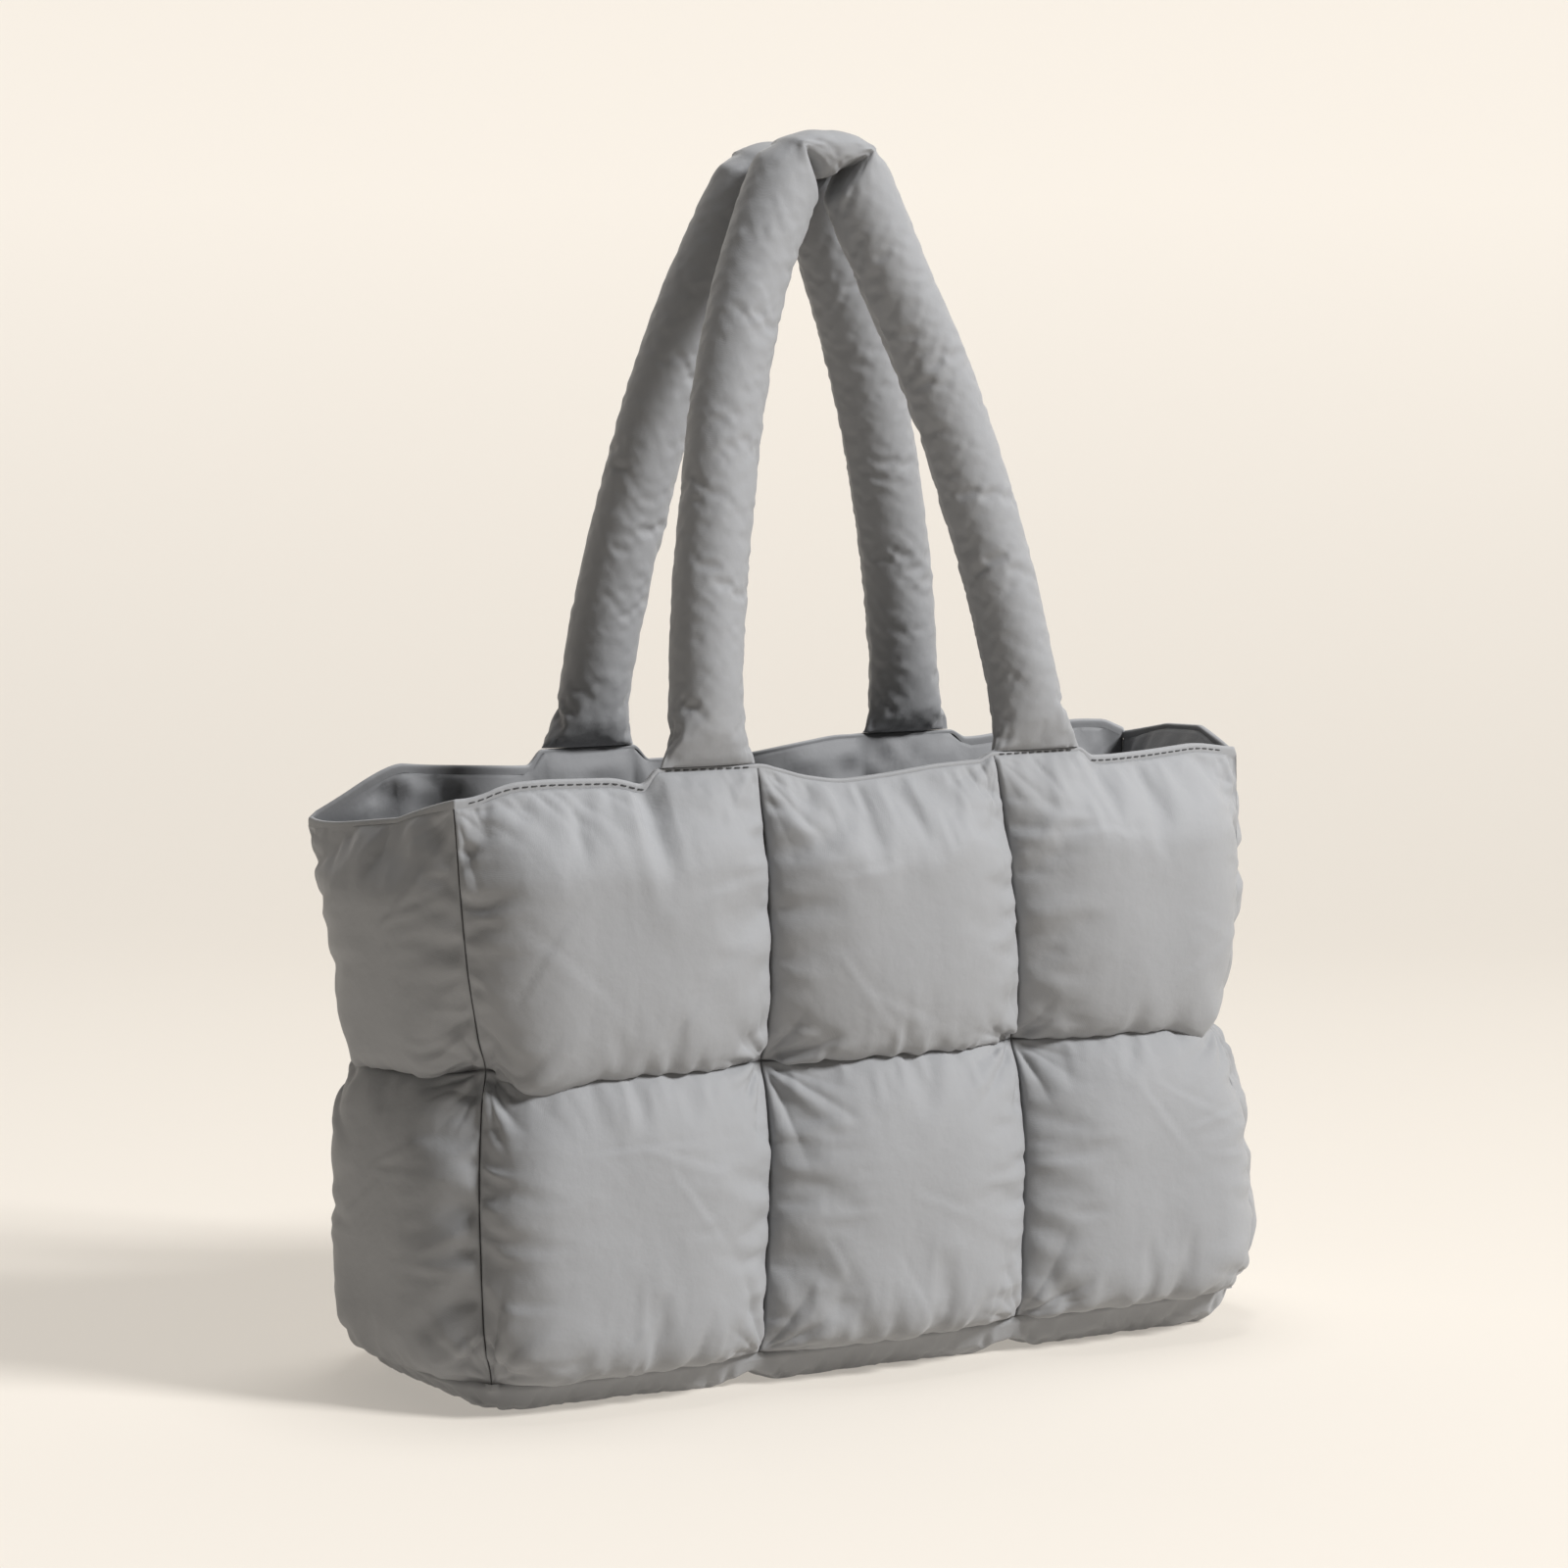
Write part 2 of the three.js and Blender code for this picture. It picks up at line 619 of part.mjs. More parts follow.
// A stuffed handle: oval sections swept along its centreline, cut level at the two sewn ends. The
// sections turn from the tab's direction at an end into the plane in which the handle leans.
function handle(name) {
  const frame = handleFrame(name);
  const curve = handleCurve(frame);
  const [start, finish] = frame.ends.map((end) => end.point);
  const spreadWay = new THREE.Vector3().subVectors(finish, start);
  const plane = spreadWay.cross(new THREE.Vector3().subVectors(frame.apex, start)).normalize();
  const places = handlePlaces();
  const positions = [];
  places.forEach((place, k) => {
    const centre = curve.getPointAt(place);
    const fromEnd = 1 - Math.abs(2 * place - 1);
    const turned = smoothShare(fromEnd / HANDLE_SECTIONS[1].along);
    const outward = frame.ends[place < 0.5 ? 0 : 1].normal.clone().lerp(plane, turned).normalize();
    const atEnd = k === 0 || k === places.length - 1;
    const tangent = atEnd ? new THREE.Vector3(0, 0, k === 0 ? 1 : -1) : curve.getTangentAt(place);
    const wideWay = new THREE.Vector3().crossVectors(outward, tangent).normalize();
    const thickWay = new THREE.Vector3().crossVectors(tangent, wideWay).normalize();
    const { wide, thick } = handleSection(fromEnd);
    for (let i = 0; i < HANDLE_SIDES; i++) {
      const angle = (2 * Math.PI * i) / HANDLE_SIDES;
      const corner = centre.clone();
      corner.addScaledVector(wideWay, (Math.cos(angle) * wide) / 2);
      corner.addScaledVector(thickWay, (Math.sin(angle) * thick) / 2);
      positions.push(...corner.toArray());
    }
  });
  return closedTube(positions, places.length, HANDLE_SIDES);
}

// Places along a handle, closer together at the flat ends and at the apex.
function handlePlaces() {
  const half = easedPlaces(HANDLE_STEPS / 2).map((place) => place / 2);
  return [...half, ...half.slice(0, -1).map((place) => 1 - place).reverse()];
}

// A tube of rings of points, closed by a flat fan at each end.
function closedTube(positions, rings, sides) {
  const faces = [];
  for (let j = 0; j + 1 < rings; j++) {
    for (let i = 0; i < sides; i++) {
      const a = j * sides + i;
      const b = j * sides + ((i + 1) % sides);
      faces.push(a, b, b + sides, a, b + sides, a + sides);
    }
  }
  const last = (rings - 1) * sides;
  for (let i = 1; i + 1 < sides; i++) {
    faces.push(0, i + 1, i, last, last + i, last + i + 1);
  }
  return solidGeometry(positions, faces);
}

const shellFabric = new THREE.MeshStandardMaterial({ color: 0x9b9c9f, roughness: 0.72, metalness: 0 });
const hemFabric = new THREE.MeshStandardMaterial({ color: 0x9b9c9f, roughness: 0.75, metalness: 0 });
const handleFabric = new THREE.MeshStandardMaterial({ color: 0x98999c, roughness: 0.72, metalness: 0 });

const bag = new THREE.Group();
function add(name, geometry, material) {
  const mesh = new THREE.Mesh(geometry, material);
  mesh.name = name;
  bag.add(mesh);
}

add('front_panel', wallPanel('front'), shellFabric);
add('right_side', wallPanel('right'), shellFabric);
add('back_panel', wallPanel('back'), shellFabric);
add('left_side', wallPanel('left'), shellFabric);
add('base_panel', basePanel(), shellFabric);
add('mouth_hem', mouthHem(), hemFabric);
add('front_handle', handle('front'), handleFabric);
add('back_handle', handle('back'), handleFabric);

export default bag;
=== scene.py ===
"""Puffer tote bag: quilted walls, sides and base, a sewn hem and two stuffed handles.

Every padded skin is a grid that is sewn down along its seams and filled by cloth simulation. Sizes
are in metres and match the solids of the frame.
"""
import math

import bpy
import numpy as np
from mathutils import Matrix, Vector


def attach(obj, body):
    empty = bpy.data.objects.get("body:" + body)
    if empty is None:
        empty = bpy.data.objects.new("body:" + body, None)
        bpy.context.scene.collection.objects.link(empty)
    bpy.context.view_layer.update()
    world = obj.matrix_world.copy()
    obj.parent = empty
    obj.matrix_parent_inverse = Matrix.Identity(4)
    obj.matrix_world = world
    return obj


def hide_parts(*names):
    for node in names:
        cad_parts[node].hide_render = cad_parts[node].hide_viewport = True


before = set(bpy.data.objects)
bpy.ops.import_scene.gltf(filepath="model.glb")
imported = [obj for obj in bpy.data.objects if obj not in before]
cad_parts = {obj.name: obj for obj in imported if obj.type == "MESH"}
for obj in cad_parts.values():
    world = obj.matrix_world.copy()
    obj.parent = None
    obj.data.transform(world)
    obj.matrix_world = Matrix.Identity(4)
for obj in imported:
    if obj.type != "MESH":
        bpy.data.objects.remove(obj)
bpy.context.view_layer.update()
MM = 0.001

# Sizes of the body at its three levels, seam to seam
LEVELS = {
    "base": {"width": 402 * MM, "depth": 132 * MM, "column": 136 * MM, "bow": 3 * MM, "slump": 0.0},
    "waist": {"width": 400 * MM, "depth": 110 * MM, "column": 134 * MM, "bow": 9 * MM, "slump": 0.4},
    "mouth": {"width": 410 * MM, "depth": 93 * MM, "column": 124 * MM, "bow": 13 * MM, "slump": 1.0},
}
SIDE_BOW = 4 * MM
SLUMP_OUT = 18 * MM
SLUMP_BACK = 17 * MM
SLUMP_DOWN = 16 * MM

# Heights of the body, its seams and its hem, and of the tabs under the handles
BODY_HEIGHT = 268 * MM
ROW_SEAM_HEIGHT = 144 * MM
BASE_SEAM_HEIGHT = 13.5 * MM
BASE_SEAM_CLIMB = 6 * MM
HEM_HEIGHT = 9 * MM
TAB_RISE = 10 * MM
TAB_FALL = 9 * MM

# The row seam hangs on the sides, arches on the front and back and drops at the right end, and the
# front's upright seams lean to the right at the waist
ROW_SEAM_SAG = 3 * MM
ROW_SEAM_ARCH = 3.5 * MM
ROW_SEAM_DROP = 3 * MM
ROW_SEAM_DROP_REACH = 32 * MM
FRONT_SEAM_LEAN = 10 * MM

# Sizes of the two rows of cells, seam to seam
ROW_SIZES = (ROW_SEAM_HEIGHT - BASE_SEAM_HEIGHT, BODY_HEIGHT - HEM_HEIGHT - ROW_SEAM_HEIGHT)

# Padding at the seams, and how far the walls are pulled in at the ends of the row seam, at the
# corners of the base and at the slumped corner
SEAM_THICKNESS = 3 * MM
SEAM_GAP = 0.3 * MM
SEAM_TUCK = 8 * MM
CORNER_TUCK = 4 * MM
FRONT_CORNER_TUCK = 10 * MM
TUCK_REACH = 34 * MM
TUCK_DIP = 9 * MM
TUCK_DIP_SHARE = 0.5
CORNER_REACH = 54 * MM
BASE_CORNER_TUCK = 8 * MM
BASE_CORNER_REACH = 15 * MM
BACK_LEFT_HOLLOW = 4 * MM
FIRST_PUFF = 2 * MM

# How far in from its edge the underside reaches the floor, and how its two seams are pinched up
BASE_EDGE_REACH = 15 * MM
BASE_EDGE_REACH_AT_RIGHT = 26 * MM
BASE_SEAM_RISE = 7 * MM
BASE_SEAM_REACH = 14 * MM

# How far the puffs of each wall stand out, and over what distance they rise from the bag's corners,
# the quilting seams, the base seam and the hem
PUFFS = {
    "front": {"lower": 24 * MM, "upper": 24 * MM},
    "right": {"lower": 18 * MM, "upper": 15 * MM},
    "back": {"lower": 24 * MM, "upper": 24 * MM},
    "left": {"lower": 19 * MM, "upper": 14 * MM},
}
LOWER_CORNER_RISE = 34 * MM
UPPER_CORNER_RISE = 43 * MM
QUILT_REACH = 58 * MM
FOOT_REACH = 28 * MM
HEM_REACH = 38 * MM

# How far a puff hangs over the seam below for each millimetre that it stands out
UPPER_DROOP = 0.8
LOWER_DROOP = 0.25

# The row seam climbs to the bag's corners, and the puffs sag most a little beside them
CORNER_CLIMB = 5 * MM
CORNER_CLIMB_REACH = 14 * MM
CORNER_SAG = 0.9
CORNER_SAG_PLACE = 24 * MM
CORNER_SAG_REACH = 13 * MM

# How much denser the grids are beside the seams than in the middle of the puffs
SEAM_DENSITY = 0.55

# How much longer than its first form the cloth of each skin is, beside its seams and away from
# them, and how hard it is stuffed. The folds that this gives the outsides of the walls are carried
# onto the puffs, softened FOLD_LENGTH times along themselves and dying out at the seams.
FOLD_GAIN = 1.25
FOLD_LENGTH = 3
MOST_SLACK = 0.3
MOST_STUFFING = 200
SLACK_REACH = 28 * MM
FOLD_SEWN = 4 * MM
CLOTH = {
    "outside": {"seam_slack": 0.09, "slack": 0.09, "stuffing": 0.1},
    "lining": {"seam_slack": 0.04, "slack": 0.03, "stuffing": 0.1},
    "underside": {"seam_slack": 0.02, "slack": 0.015, "stuffing": 0.3},
    "handle": {"seam_slack": 0.013, "slack": 0.013, "stuffing": 1.0},
}

# The simulated cloth: its mass in kilograms, its springs and their damping
CLOTH_SETTINGS = {
    "quality": 6, "mass": 0.3, "air_damping": 1,
    "tension_stiffness": 15, "compression_stiffness": 15, "shear_stiffness": 6,
    "bending_stiffness": 0.05, "tension_damping": 10, "compression_damping": 10,
    "shear_damping": 10, "bending_damping": 0.5,
}

# Handles: width, width of the sewn end, and the height, lean and depth of each one's route
HANDLE_DIAMETER = 33 * MM
HANDLE_END_WIDTH = 48 * MM
HANDLES = {
    "front": {"rise": 273 * MM, "lean": 8.5 * MM, "apex": -18 * MM, "seed": 51},
    "back": {"rise": 269 * MM, "lean": 5 * MM, "apex": 18 * MM, "seed": 57},
}
HANDLE_SIDES = 30
HANDLE_STEP = 3.6 * MM

# Spacing of the grids while they are filled, how many frames that takes, and how much finer the
# finished grids are
LINING_STEP = 7.2 * MM
SKIN_STEPS = 2
FILL_FRAMES = 20
FINER = {"front": 3, "left": 3, "right": 3, "back": 2, "base": 3, "lining": 2, "handle": 3}

# Kinks of a handle beside its apex, placed as a share of its half length from an end: how far the
# inner side folds in and over what length, and how far the outer side stands out there
KINK_PLACE = 0.955
KINK_REACH = 3.5 * MM
KINK_DEPTH = 14 * MM
KINK_CORNER = 2.5 * MM

# The seed of the cloth simulation's uneven start, and by how much its points are shifted
STUFFING_SEED = 3
UNEVEN = 0.3 * MM

# Small folds: gathers beside the seams, in patches, fine puckers on them and soft dents all over
PATCH_SIZE = 50 * MM
GATHER_DEPTH = 1.6 * MM
GATHER_WIDTH = 9 * MM
GATHER_LENGTH = 45 * MM
GATHER_REACH = 21 * MM
PUCKER_DEPTH = 0.45 * MM
PUCKER_WIDTH = 3.6 * MM
PUCKER_REACH = 6 * MM
DENT_DEPTH = 0.4 * MM
DENT_WIDTH = 30 * MM

# Wrinkles of the handles: slanted ones, in patches beside the inner seam, and gathers at the ends
WRINKLE_DEPTH = 1.3 * MM
WRINKLE_WIDTH = 12 * MM
WRINKLE_LENGTH = 30 * MM
WRINKLE_ANGLE = math.radians(35)
WRINKLE_PATCH = (35 * MM, 30 * MM)
WRINKLE_REACH = 20 * MM
END_GATHER_DEPTH = 0.9 * MM
END_GATHER_WIDTH = 4.5 * MM
END_GATHER_LENGTH = 40 * MM
END_GATHER_REACH = 11 * MM

# Creases that run into each cell from its corners, in degrees from the level and by how much these
# vary, and how much of them there is beside the hem
CREASE_ANGLES = (20, 42, 68)
CREASE_TURN = 9
CREASE_START = 5 * MM
CREASE_LENGTHS = (24 * MM, 62 * MM)
CREASE_DEPTHS = (0.9 * MM, 2.4 * MM)
CREASE_WIDTH = 3 * MM
CREASE_AT_HEM = 0.4

# Faint lines pressed into each cell
PRESS_LINES = 4
PRESS_LENGTHS = (40 * MM, 90 * MM)
PRESS_DEPTH = 0.45 * MM
PRESS_WIDTH = 2 * MM

# Creases that the photograph shows: from and to, as column places and row places, and depth
OWN_CREASES = {
    "front": [
        ((0.575, 1.99), (0.57, 1.70), 2.2 * MM), ((0.97, 1.06), (0.86, 1.22), 2.4 * MM),
        ((2.97, 1.04), (2.78, 1.12), 3.0 * MM), ((0.03, 0.97), (0.20, 0.80), 2.6 * MM),
        ((0.05, 1.03), (0.17, 1.08), 2.6 * MM), ((1.03, 1.03), (1.14, 1.14), 2.2 * MM),
        ((1.97, 1.03), (1.88, 1.15), 2.2 * MM), ((0.97, 0.97), (0.85, 0.86), 1.8 * MM),
        ((0.0, 0.15), (0.13, 0.0), 2.4 * MM),
    ],
    "left": [
        ((0.95, 1.03), (0.78, 1.09), 2.6 * MM), ((0.96, 0.97), (0.8, 0.86), 2.2 * MM),
        ((0.62, 1.98), (0.52, 1.72), 1.4 * MM), ((0.999, 0.16), (0.82, 0.0), 3.0 * MM),
    ],
}

# Deep folds of the lining at the slumped corner, in the same way
LINING_CREASE_WIDTH = 4 * MM
LINING_CREASES = {
    "back": [((2.93, 2.1), (2.86, 1.6), 4 * MM), ((2.76, 2.1), (2.6, 1.6), 5 * MM)],
    "left": [((0.25, 2.1), (0.36, 1.6), 4 * MM)],
}

# How far the dark line of an upright seam reaches from its middle, partly thread and partly painted
# shade in its groove, how far the painted shade in the level seam's crevice reaches, and how much
# painted shade darkens the lining and the hem's inner side against the outside
SEAM_LINE = 0.5 * MM
ROW_SEAM_PAINTED_SHADE_REACH = 1.2 * MM
LINING_PAINTED_SHADE = 0.28

# The hem: its thickness and how unevenly it is sewn, and how much of it shows on the outer cells
# and elsewhere
HEM_THICKNESS = 3 * MM
HEM_RIPPLE = 0.06
HEM_BAND = 4 * MM
HEM_ROLL = 1.6 * MM

# Stitches, and how far below the mouth's edge their rows run
STITCH_LENGTH = 3 * MM
STITCH_PITCH = 4.2 * MM
STITCH_RADIUS = 0.35 * MM
HEM_STITCH_DROP = 2.4 * MM
HANDLE_STITCH_DROP = 1.2 * MM

# Cloth and thread
SHELL_COLOUR = (0.296, 0.301, 0.312)
HANDLE_COLOUR = (0.282, 0.287, 0.298)
THREAD_COLOUR = (0.05, 0.05, 0.052)
CLOTH_ROUGHNESS = 0.66
WEAVE_PITCH = 0.55 * MM

# Backdrop in metres: how far behind the bag it starts to rise, how far it curves, where it ends. It
# glows on the floor and more on the wall, less for each metre to the right.
BACKDROP_COLOUR = (0.985, 0.922, 0.836)
BACKDROP_ALBEDO = 0.45
BACKDROP_GLOW = 0.36
BACKDROP_WALL_GLOW = 0.57
BACKDROP_SIDE_FALL = 0.085
BACKDROP_DEPTH = 1.4
BACKDROP_CURVE = 1.2
BACKDROP_HALF_WIDTH = 6
BACKDROP_NEAR = -4

# Light: an even sky and two round lamps, in metres and watts
SKY_COLOUR = (1.0, 0.975, 0.94)
SKY_STRENGTH = 0.05
LAMPS = {
    "key": {"place": (2.75, -3.5, 3.6), "size": 1.3, "power": 405},
    "top": {"place": (0.3, 0.3, 3.1), "size": 1.1, "power": 30},
}
LAMP_AIM = (0, 0, 0.2)

# The camera looks from the photograph's side and height
CAMERA_AZIMUTH = math.radians(-30)
CAMERA_ELEVATION = math.radians(5.4)
CAMERA_PLACE = (-1.1015, -1.8833, 0.4675)
CAMERA_LENS = 109.1

# The walls in order round the bag: the corners that each runs between, seen from above, its
# neighbours and its columns of cells
WALLS = {
    "front": {"from": (-1, -1), "to": (1, -1), "before": "left", "after": "right", "columns": 3},
    "right": {"from": (1, -1), "to": (1, 1), "before": "front", "after": "back", "columns": 1},
    "back": {"from": (1, 1), "to": (-1, 1), "before": "right", "after": "left", "columns": 3},
    "left": {"from": (-1, 1), "to": (-1, -1), "before": "back", "after": "front", "columns": 1},
}
NODES = {
    "front": "front_panel", "back": "back_panel", "left": "left_side", "right": "right_side",
    "base": "base_panel",
}

# Height of the mouth's edge along each wall: (across from -1 to 1, rise as a share of TAB_RISE)
MOUTH_LINES = {
    "front": [(-1, 0), (-0.955, 0.05), (-0.885, 0.62), (-0.8, 0.72), (-0.63, 0.66), (-0.575, 0.25),
              (-0.3, 1), (-0.25, 0.8), (-0.2, 0.45), (-0.1, 0.12), (0.02, 0.3), (0.15, 0.6),
              (0.27, 0.7), (0.55, 0.6), (0.62, 0.55), (0.74, 0.65), (0.88, 0.85), (1, 0.5)],
    "right": [(-1, 0.3), (-0.3, 1.3), (0.3, 1.2), (1, 0.6)],
    "back": [(-1, 0.6), (-0.97, 1.2), (-0.87, 1.3), (-0.6, 0.6), (-0.24, 1), (0, 0.3),
             (0.24, 0.3), (0.6, 0.3), (0.84, 0.6), (0.93, 0.8), (1, 0)],
    "left": [(-1, 0), (-0.4, -0.3), (0.3, -0.6), (1, 0)],
}

# Shifts over which the mouth's line is averaged
MOUTH_ROUNDING = np.linspace(-0.03, 0.03, 9)


def smooth(t):
    """A soft step: 3t squared less 2t cubed, held between 0 and 1."""
    t = np.clip(t, 0, 1)
    return t * t * (3 - 2 * t)


def mix(a, b, t):
    return a + (b - a) * t


def unit(v):
    return v / np.linalg.norm(v, axis=-1, keepdims=True)


def chord(wall, level):
    """Start of a wall at a level, its direction and its length."""
    half = np.array([LEVELS[level]["width"], LEVELS[level]["depth"]]) / 2
    start, end = half * WALLS[wall]["from"], half * WALLS[wall]["to"]
    length = np.linalg.norm(end - start)
    return start, (end - start) / length, length


def outward(wall):
    """A wall's outward direction, square to its chord."""
    x, y = chord(wall, "base")[1]
    return np.array([y, -x])


def column_edges(wall, level):
    """Places of a wall's upright seams along its chord. The front's lean to the right at the waist."""
    length = chord(wall, level)[2]
    if WALLS[wall]["columns"] == 1:
        return np.array([0, length])
    column = LEVELS[level]["column"]
    middle = length / 2 + (FRONT_SEAM_LEAN if (wall, level) == ("front", "waist") else 0)
    return np.array([0, middle - column / 2, middle + column / 2, length])


def slump_share(wall, level, along):
    """How much of the slumped corner's shift a place takes: all at the back left corner, dying out
    softly along the left side and as a square along a quarter of the back's outer column."""
    edges = column_edges(wall, level)
    if wall == "left":
        return LEVELS[level]["slump"] * smooth(1 - along / edges[-1])
    if wall != "back":
        return np.zeros_like(along)
    free = edges[3] - edges[2] - HANDLE_END_WIDTH - TAB_FALL
    return LEVELS[level]["slump"] * np.clip(1 - 4 * (edges[3] - along) / free, 0, 1) ** 2


def plan_at(wall, level, s):
    """Seam surface of a wall at a level, and its outward normal, at column places s: a chord bowed
    out as one less the square of its share, with the normal turned to the mitre at the corners."""
    start, way, length = chord(wall, level)
    edges = column_edges(wall, level)
    along = np.interp(s, np.arange(len(edges)), edges)
    along = np.clip(along, SEAM_GAP / math.sqrt(2), length - SEAM_GAP / math.sqrt(2))
    across = 2 * along / length - 1
    bow = LEVELS[level]["bow"] if WALLS[wall]["columns"] > 1 else SIDE_BOW
    out = outward(wall)
    point = start + along[..., None] * way + (bow * (1 - across ** 2))[..., None] * out
    slump = slump_share(wall, level, along)
    point = point + slump[..., None] * np.array([-SLUMP_OUT, SLUMP_BACK])
    square = unit(out + (4 * bow * across / length)[..., None] * way)
    first = along < length / 2
    beside = np.where(first[..., None], outward(WALLS[wall]["before"]), outward(WALLS[wall]["after"]))
    mitre = unit(out + beside)
    reach = min(CORNER_REACH, length / 2)
    turn = smooth(np.minimum(along, length - along) / reach)[..., None]
    return point, unit(mix(mitre, square, turn)), across, along


def beside_tab(wall, along):
    """Distance from a handle's tab, out towards the corner or in towards the middle."""
    edges = column_edges(wall, "mouth")
    past = np.maximum(edges[1] - along, along - edges[2])
    return past - HANDLE_END_WIDTH, -past


def mouth_height(wall, s):
    """Height of the mouth's edge: the wall's line, rounded off, level on the tabs, less the slump."""
    _, _, across, along = plan_at(wall, "mouth", s)
    place, height = np.array(MOUTH_LINES[wall]).T
    rise = np.mean([np.interp(across + shift, place, height) for shift in MOUTH_ROUNDING], axis=0)
    if WALLS[wall]["columns"] > 1:
        outer, inner = beside_tab(wall, along)
        rise = mix(1.0, rise, smooth(np.maximum(outer, inner) / TAB_FALL))
    return BODY_HEIGHT + TAB_RISE * rise - SLUMP_DOWN * slump_share(wall, "mouth", along)


def hem_height(wall, s):
    """Height of the hem that shows: all of it on the outer cells, a rolled edge on the tabs, the
    middle cell and the sides."""
    _, _, _, along = plan_at(wall, "mouth", s)
    if WALLS[wall]["columns"] > 1:
        share = smooth(beside_tab(wall, along)[0] / TAB_FALL)
    else:
        length = chord(wall, "mouth")[2]
        share = 1 - 0.7 * smooth(np.minimum(along, length - along) / CORNER_REACH * 2)
    return mix(HEM_ROLL, HEM_BAND, share)


def base_seam_height(x):
    """Height of the seam between the walls and the base, which climbs from left to right."""
    return BASE_SEAM_HEIGHT + BASE_SEAM_CLIMB * (x / LEVELS["base"]["width"] + 0.5)


def row_seam_height(wall, x, s):
    """Height of the row seam: it arches as a sine between the upright seams, hangs on the sides and
    drops at the right."""
    outer = 1 - (LEVELS["waist"]["width"] / 2 - x) / ROW_SEAM_DROP_REACH
    rise = -ROW_SEAM_SAG if WALLS[wall]["columns"] == 1 else ROW_SEAM_ARCH
    arch = rise * np.abs(np.sin(np.pi * s))
    from_end = LEVELS["waist"]["width"] / 2 - np.abs(x)
    climb = CORNER_CLIMB * np.exp(-(from_end / CORNER_CLIMB_REACH) ** 2)
    return ROW_SEAM_HEIGHT + arch - ROW_SEAM_DROP * smooth(outer) + climb


def cell_widths(wall, s):
    """Width and number of the column at places s."""
    edges = column_edges(wall, "waist")
    column = np.clip(s.astype(int), 0, len(edges) - 2)
    return edges[column + 1] - edges[column], column


def corner_tuck(wall, s, rise):
    """How far a place is pulled in towards the inside at the corners of the base."""
    _, _, _, along = plan_at(wall, "base", s)
    from_corner = np.minimum(along, chord(wall, "base")[2] - along)
    return BASE_CORNER_TUCK * np.exp(-(from_corner ** 2 + rise ** 2) / BASE_CORNER_REACH ** 2)


def slumped_hollow(wall, s, h):
    """How far the slumped corner's seam is drawn in between the row seam and the hem."""
    _, _, _, along = plan_at(wall, "mouth", s)
    if wall not in ("left", "back"):
        return np.zeros_like(along)
    from_corner = along if wall == "left" else chord(wall, "mouth")[2] - along
    hollow = BACK_LEFT_HOLLOW * np.sin(np.pi * np.clip(h - 1, 0, 1))
    return hollow * np.exp(-(from_corner / CORNER_REACH) ** 2)


def tuck_share(across, up):
    """A wide and a narrow dip round a place where the row seam meets an upright seam."""
    square = across ** 2 + up ** 2
    return np.exp(-square / TUCK_REACH ** 2) + TUCK_DIP_SHARE * np.exp(-square / TUCK_DIP ** 2)


def seam_tuck(wall, beside, at_corner):
    """How far the wall is pulled in at the ends of the row seam: at its quilting, and at the corner
    that it shares with the wall beside it."""
    corner = FRONT_CORNER_TUCK if "front" in (wall, beside) else CORNER_TUCK
    return np.where(at_corner, corner, SEAM_TUCK)


def wall_seat(wall, s, h):
    """Seam surface of a wall at column places s and row places h (0 base seam, 1 row seam, 2 hem):
    straight lines between the three levels, pulled in where the row seam meets the upright seams."""
    base, base_out, _, _ = plan_at(wall, "base", s)
    waist, waist_out, _, _ = plan_at(wall, "waist", s)
    mouth, mouth_out, _, _ = plan_at(wall, "mouth", s)
    foot = base_seam_height(base[..., 0]) + SEAM_GAP / 2
    row = row_seam_height(wall, waist[..., 0], s)
    top = mouth_height(wall, s) - hem_height(wall, s) - SEAM_GAP / 2
    lower = h < 1
    up = np.where(lower, h, h - 1)

    def between(low, middle, high):
        share = up[..., None]
        return np.where(lower[..., None], mix(low, middle, share), mix(middle, high, share))

    point, normal = between(base, waist, mouth), between(base_out, waist_out, mouth_out)
    height = np.where(lower, mix(foot, row, up), mix(row, top, up))
    cell_height = np.where(lower, row - foot, top - row)
    width, column = cell_widths(wall, s)
    share = s - column
    rise = np.where(lower, 1 - up, up) * cell_height
    start_tuck = seam_tuck(wall, WALLS[wall]["before"], column == 0)
    end_tuck = seam_tuck(wall, WALLS[wall]["after"], column == WALLS[wall]["columns"] - 1)
    near = tuck_share(share * width, rise) * start_tuck
    far = tuck_share((1 - share) * width, rise) * end_tuck
    normal = unit(normal)
    foot_tuck = corner_tuck(wall, s, np.where(lower, up, 1) * cell_height)
    tuck = np.maximum(near, far) + foot_tuck + slumped_hollow(wall, s, h)
    point = point - tuck[..., None] * normal
    seat = np.concatenate([point, height[..., None]], -1)
    normal = np.concatenate([normal, np.zeros_like(height)[..., None]], -1)
    return seat, normal


def grid_places(sizes, steps, density=0):
    """Places along a row of cells: each cell gets steps places for every LINING_STEP of its size,
    closer together beside the seams by density."""
    shares = [np.linspace(0, 1, steps * max(2, round(size / LINING_STEP)) + 1) for size in sizes]
    places = [k + t - density * np.sin(2 * np.pi * t) / (2 * np.pi) for k, t in enumerate(shares)]
    return np.concatenate([places[0]] + [p[1:] for p in places[1:]])


def finer_places(places, finer):
    """The same places with finer steps for each one."""
    steps = np.arange(len(places) - 1)[:, None] + np.arange(finer)[None, :] / finer
    return np.append(np.interp(steps.ravel(), np.arange(len(places)), places), places[-1])


def pillow(share):
    """Height of a puff across a cell: the square root of a sine."""
    return np.sqrt(np.clip(np.sin(np.pi * share), 0, 1))


def quilt_share(s, h):
    """The same over a wall's cells, both ways."""
    return pillow(s - np.floor(s)) * pillow(h - np.floor(h))


def on_seam(s):
    return np.abs(s - np.round(s)) < 1e-6


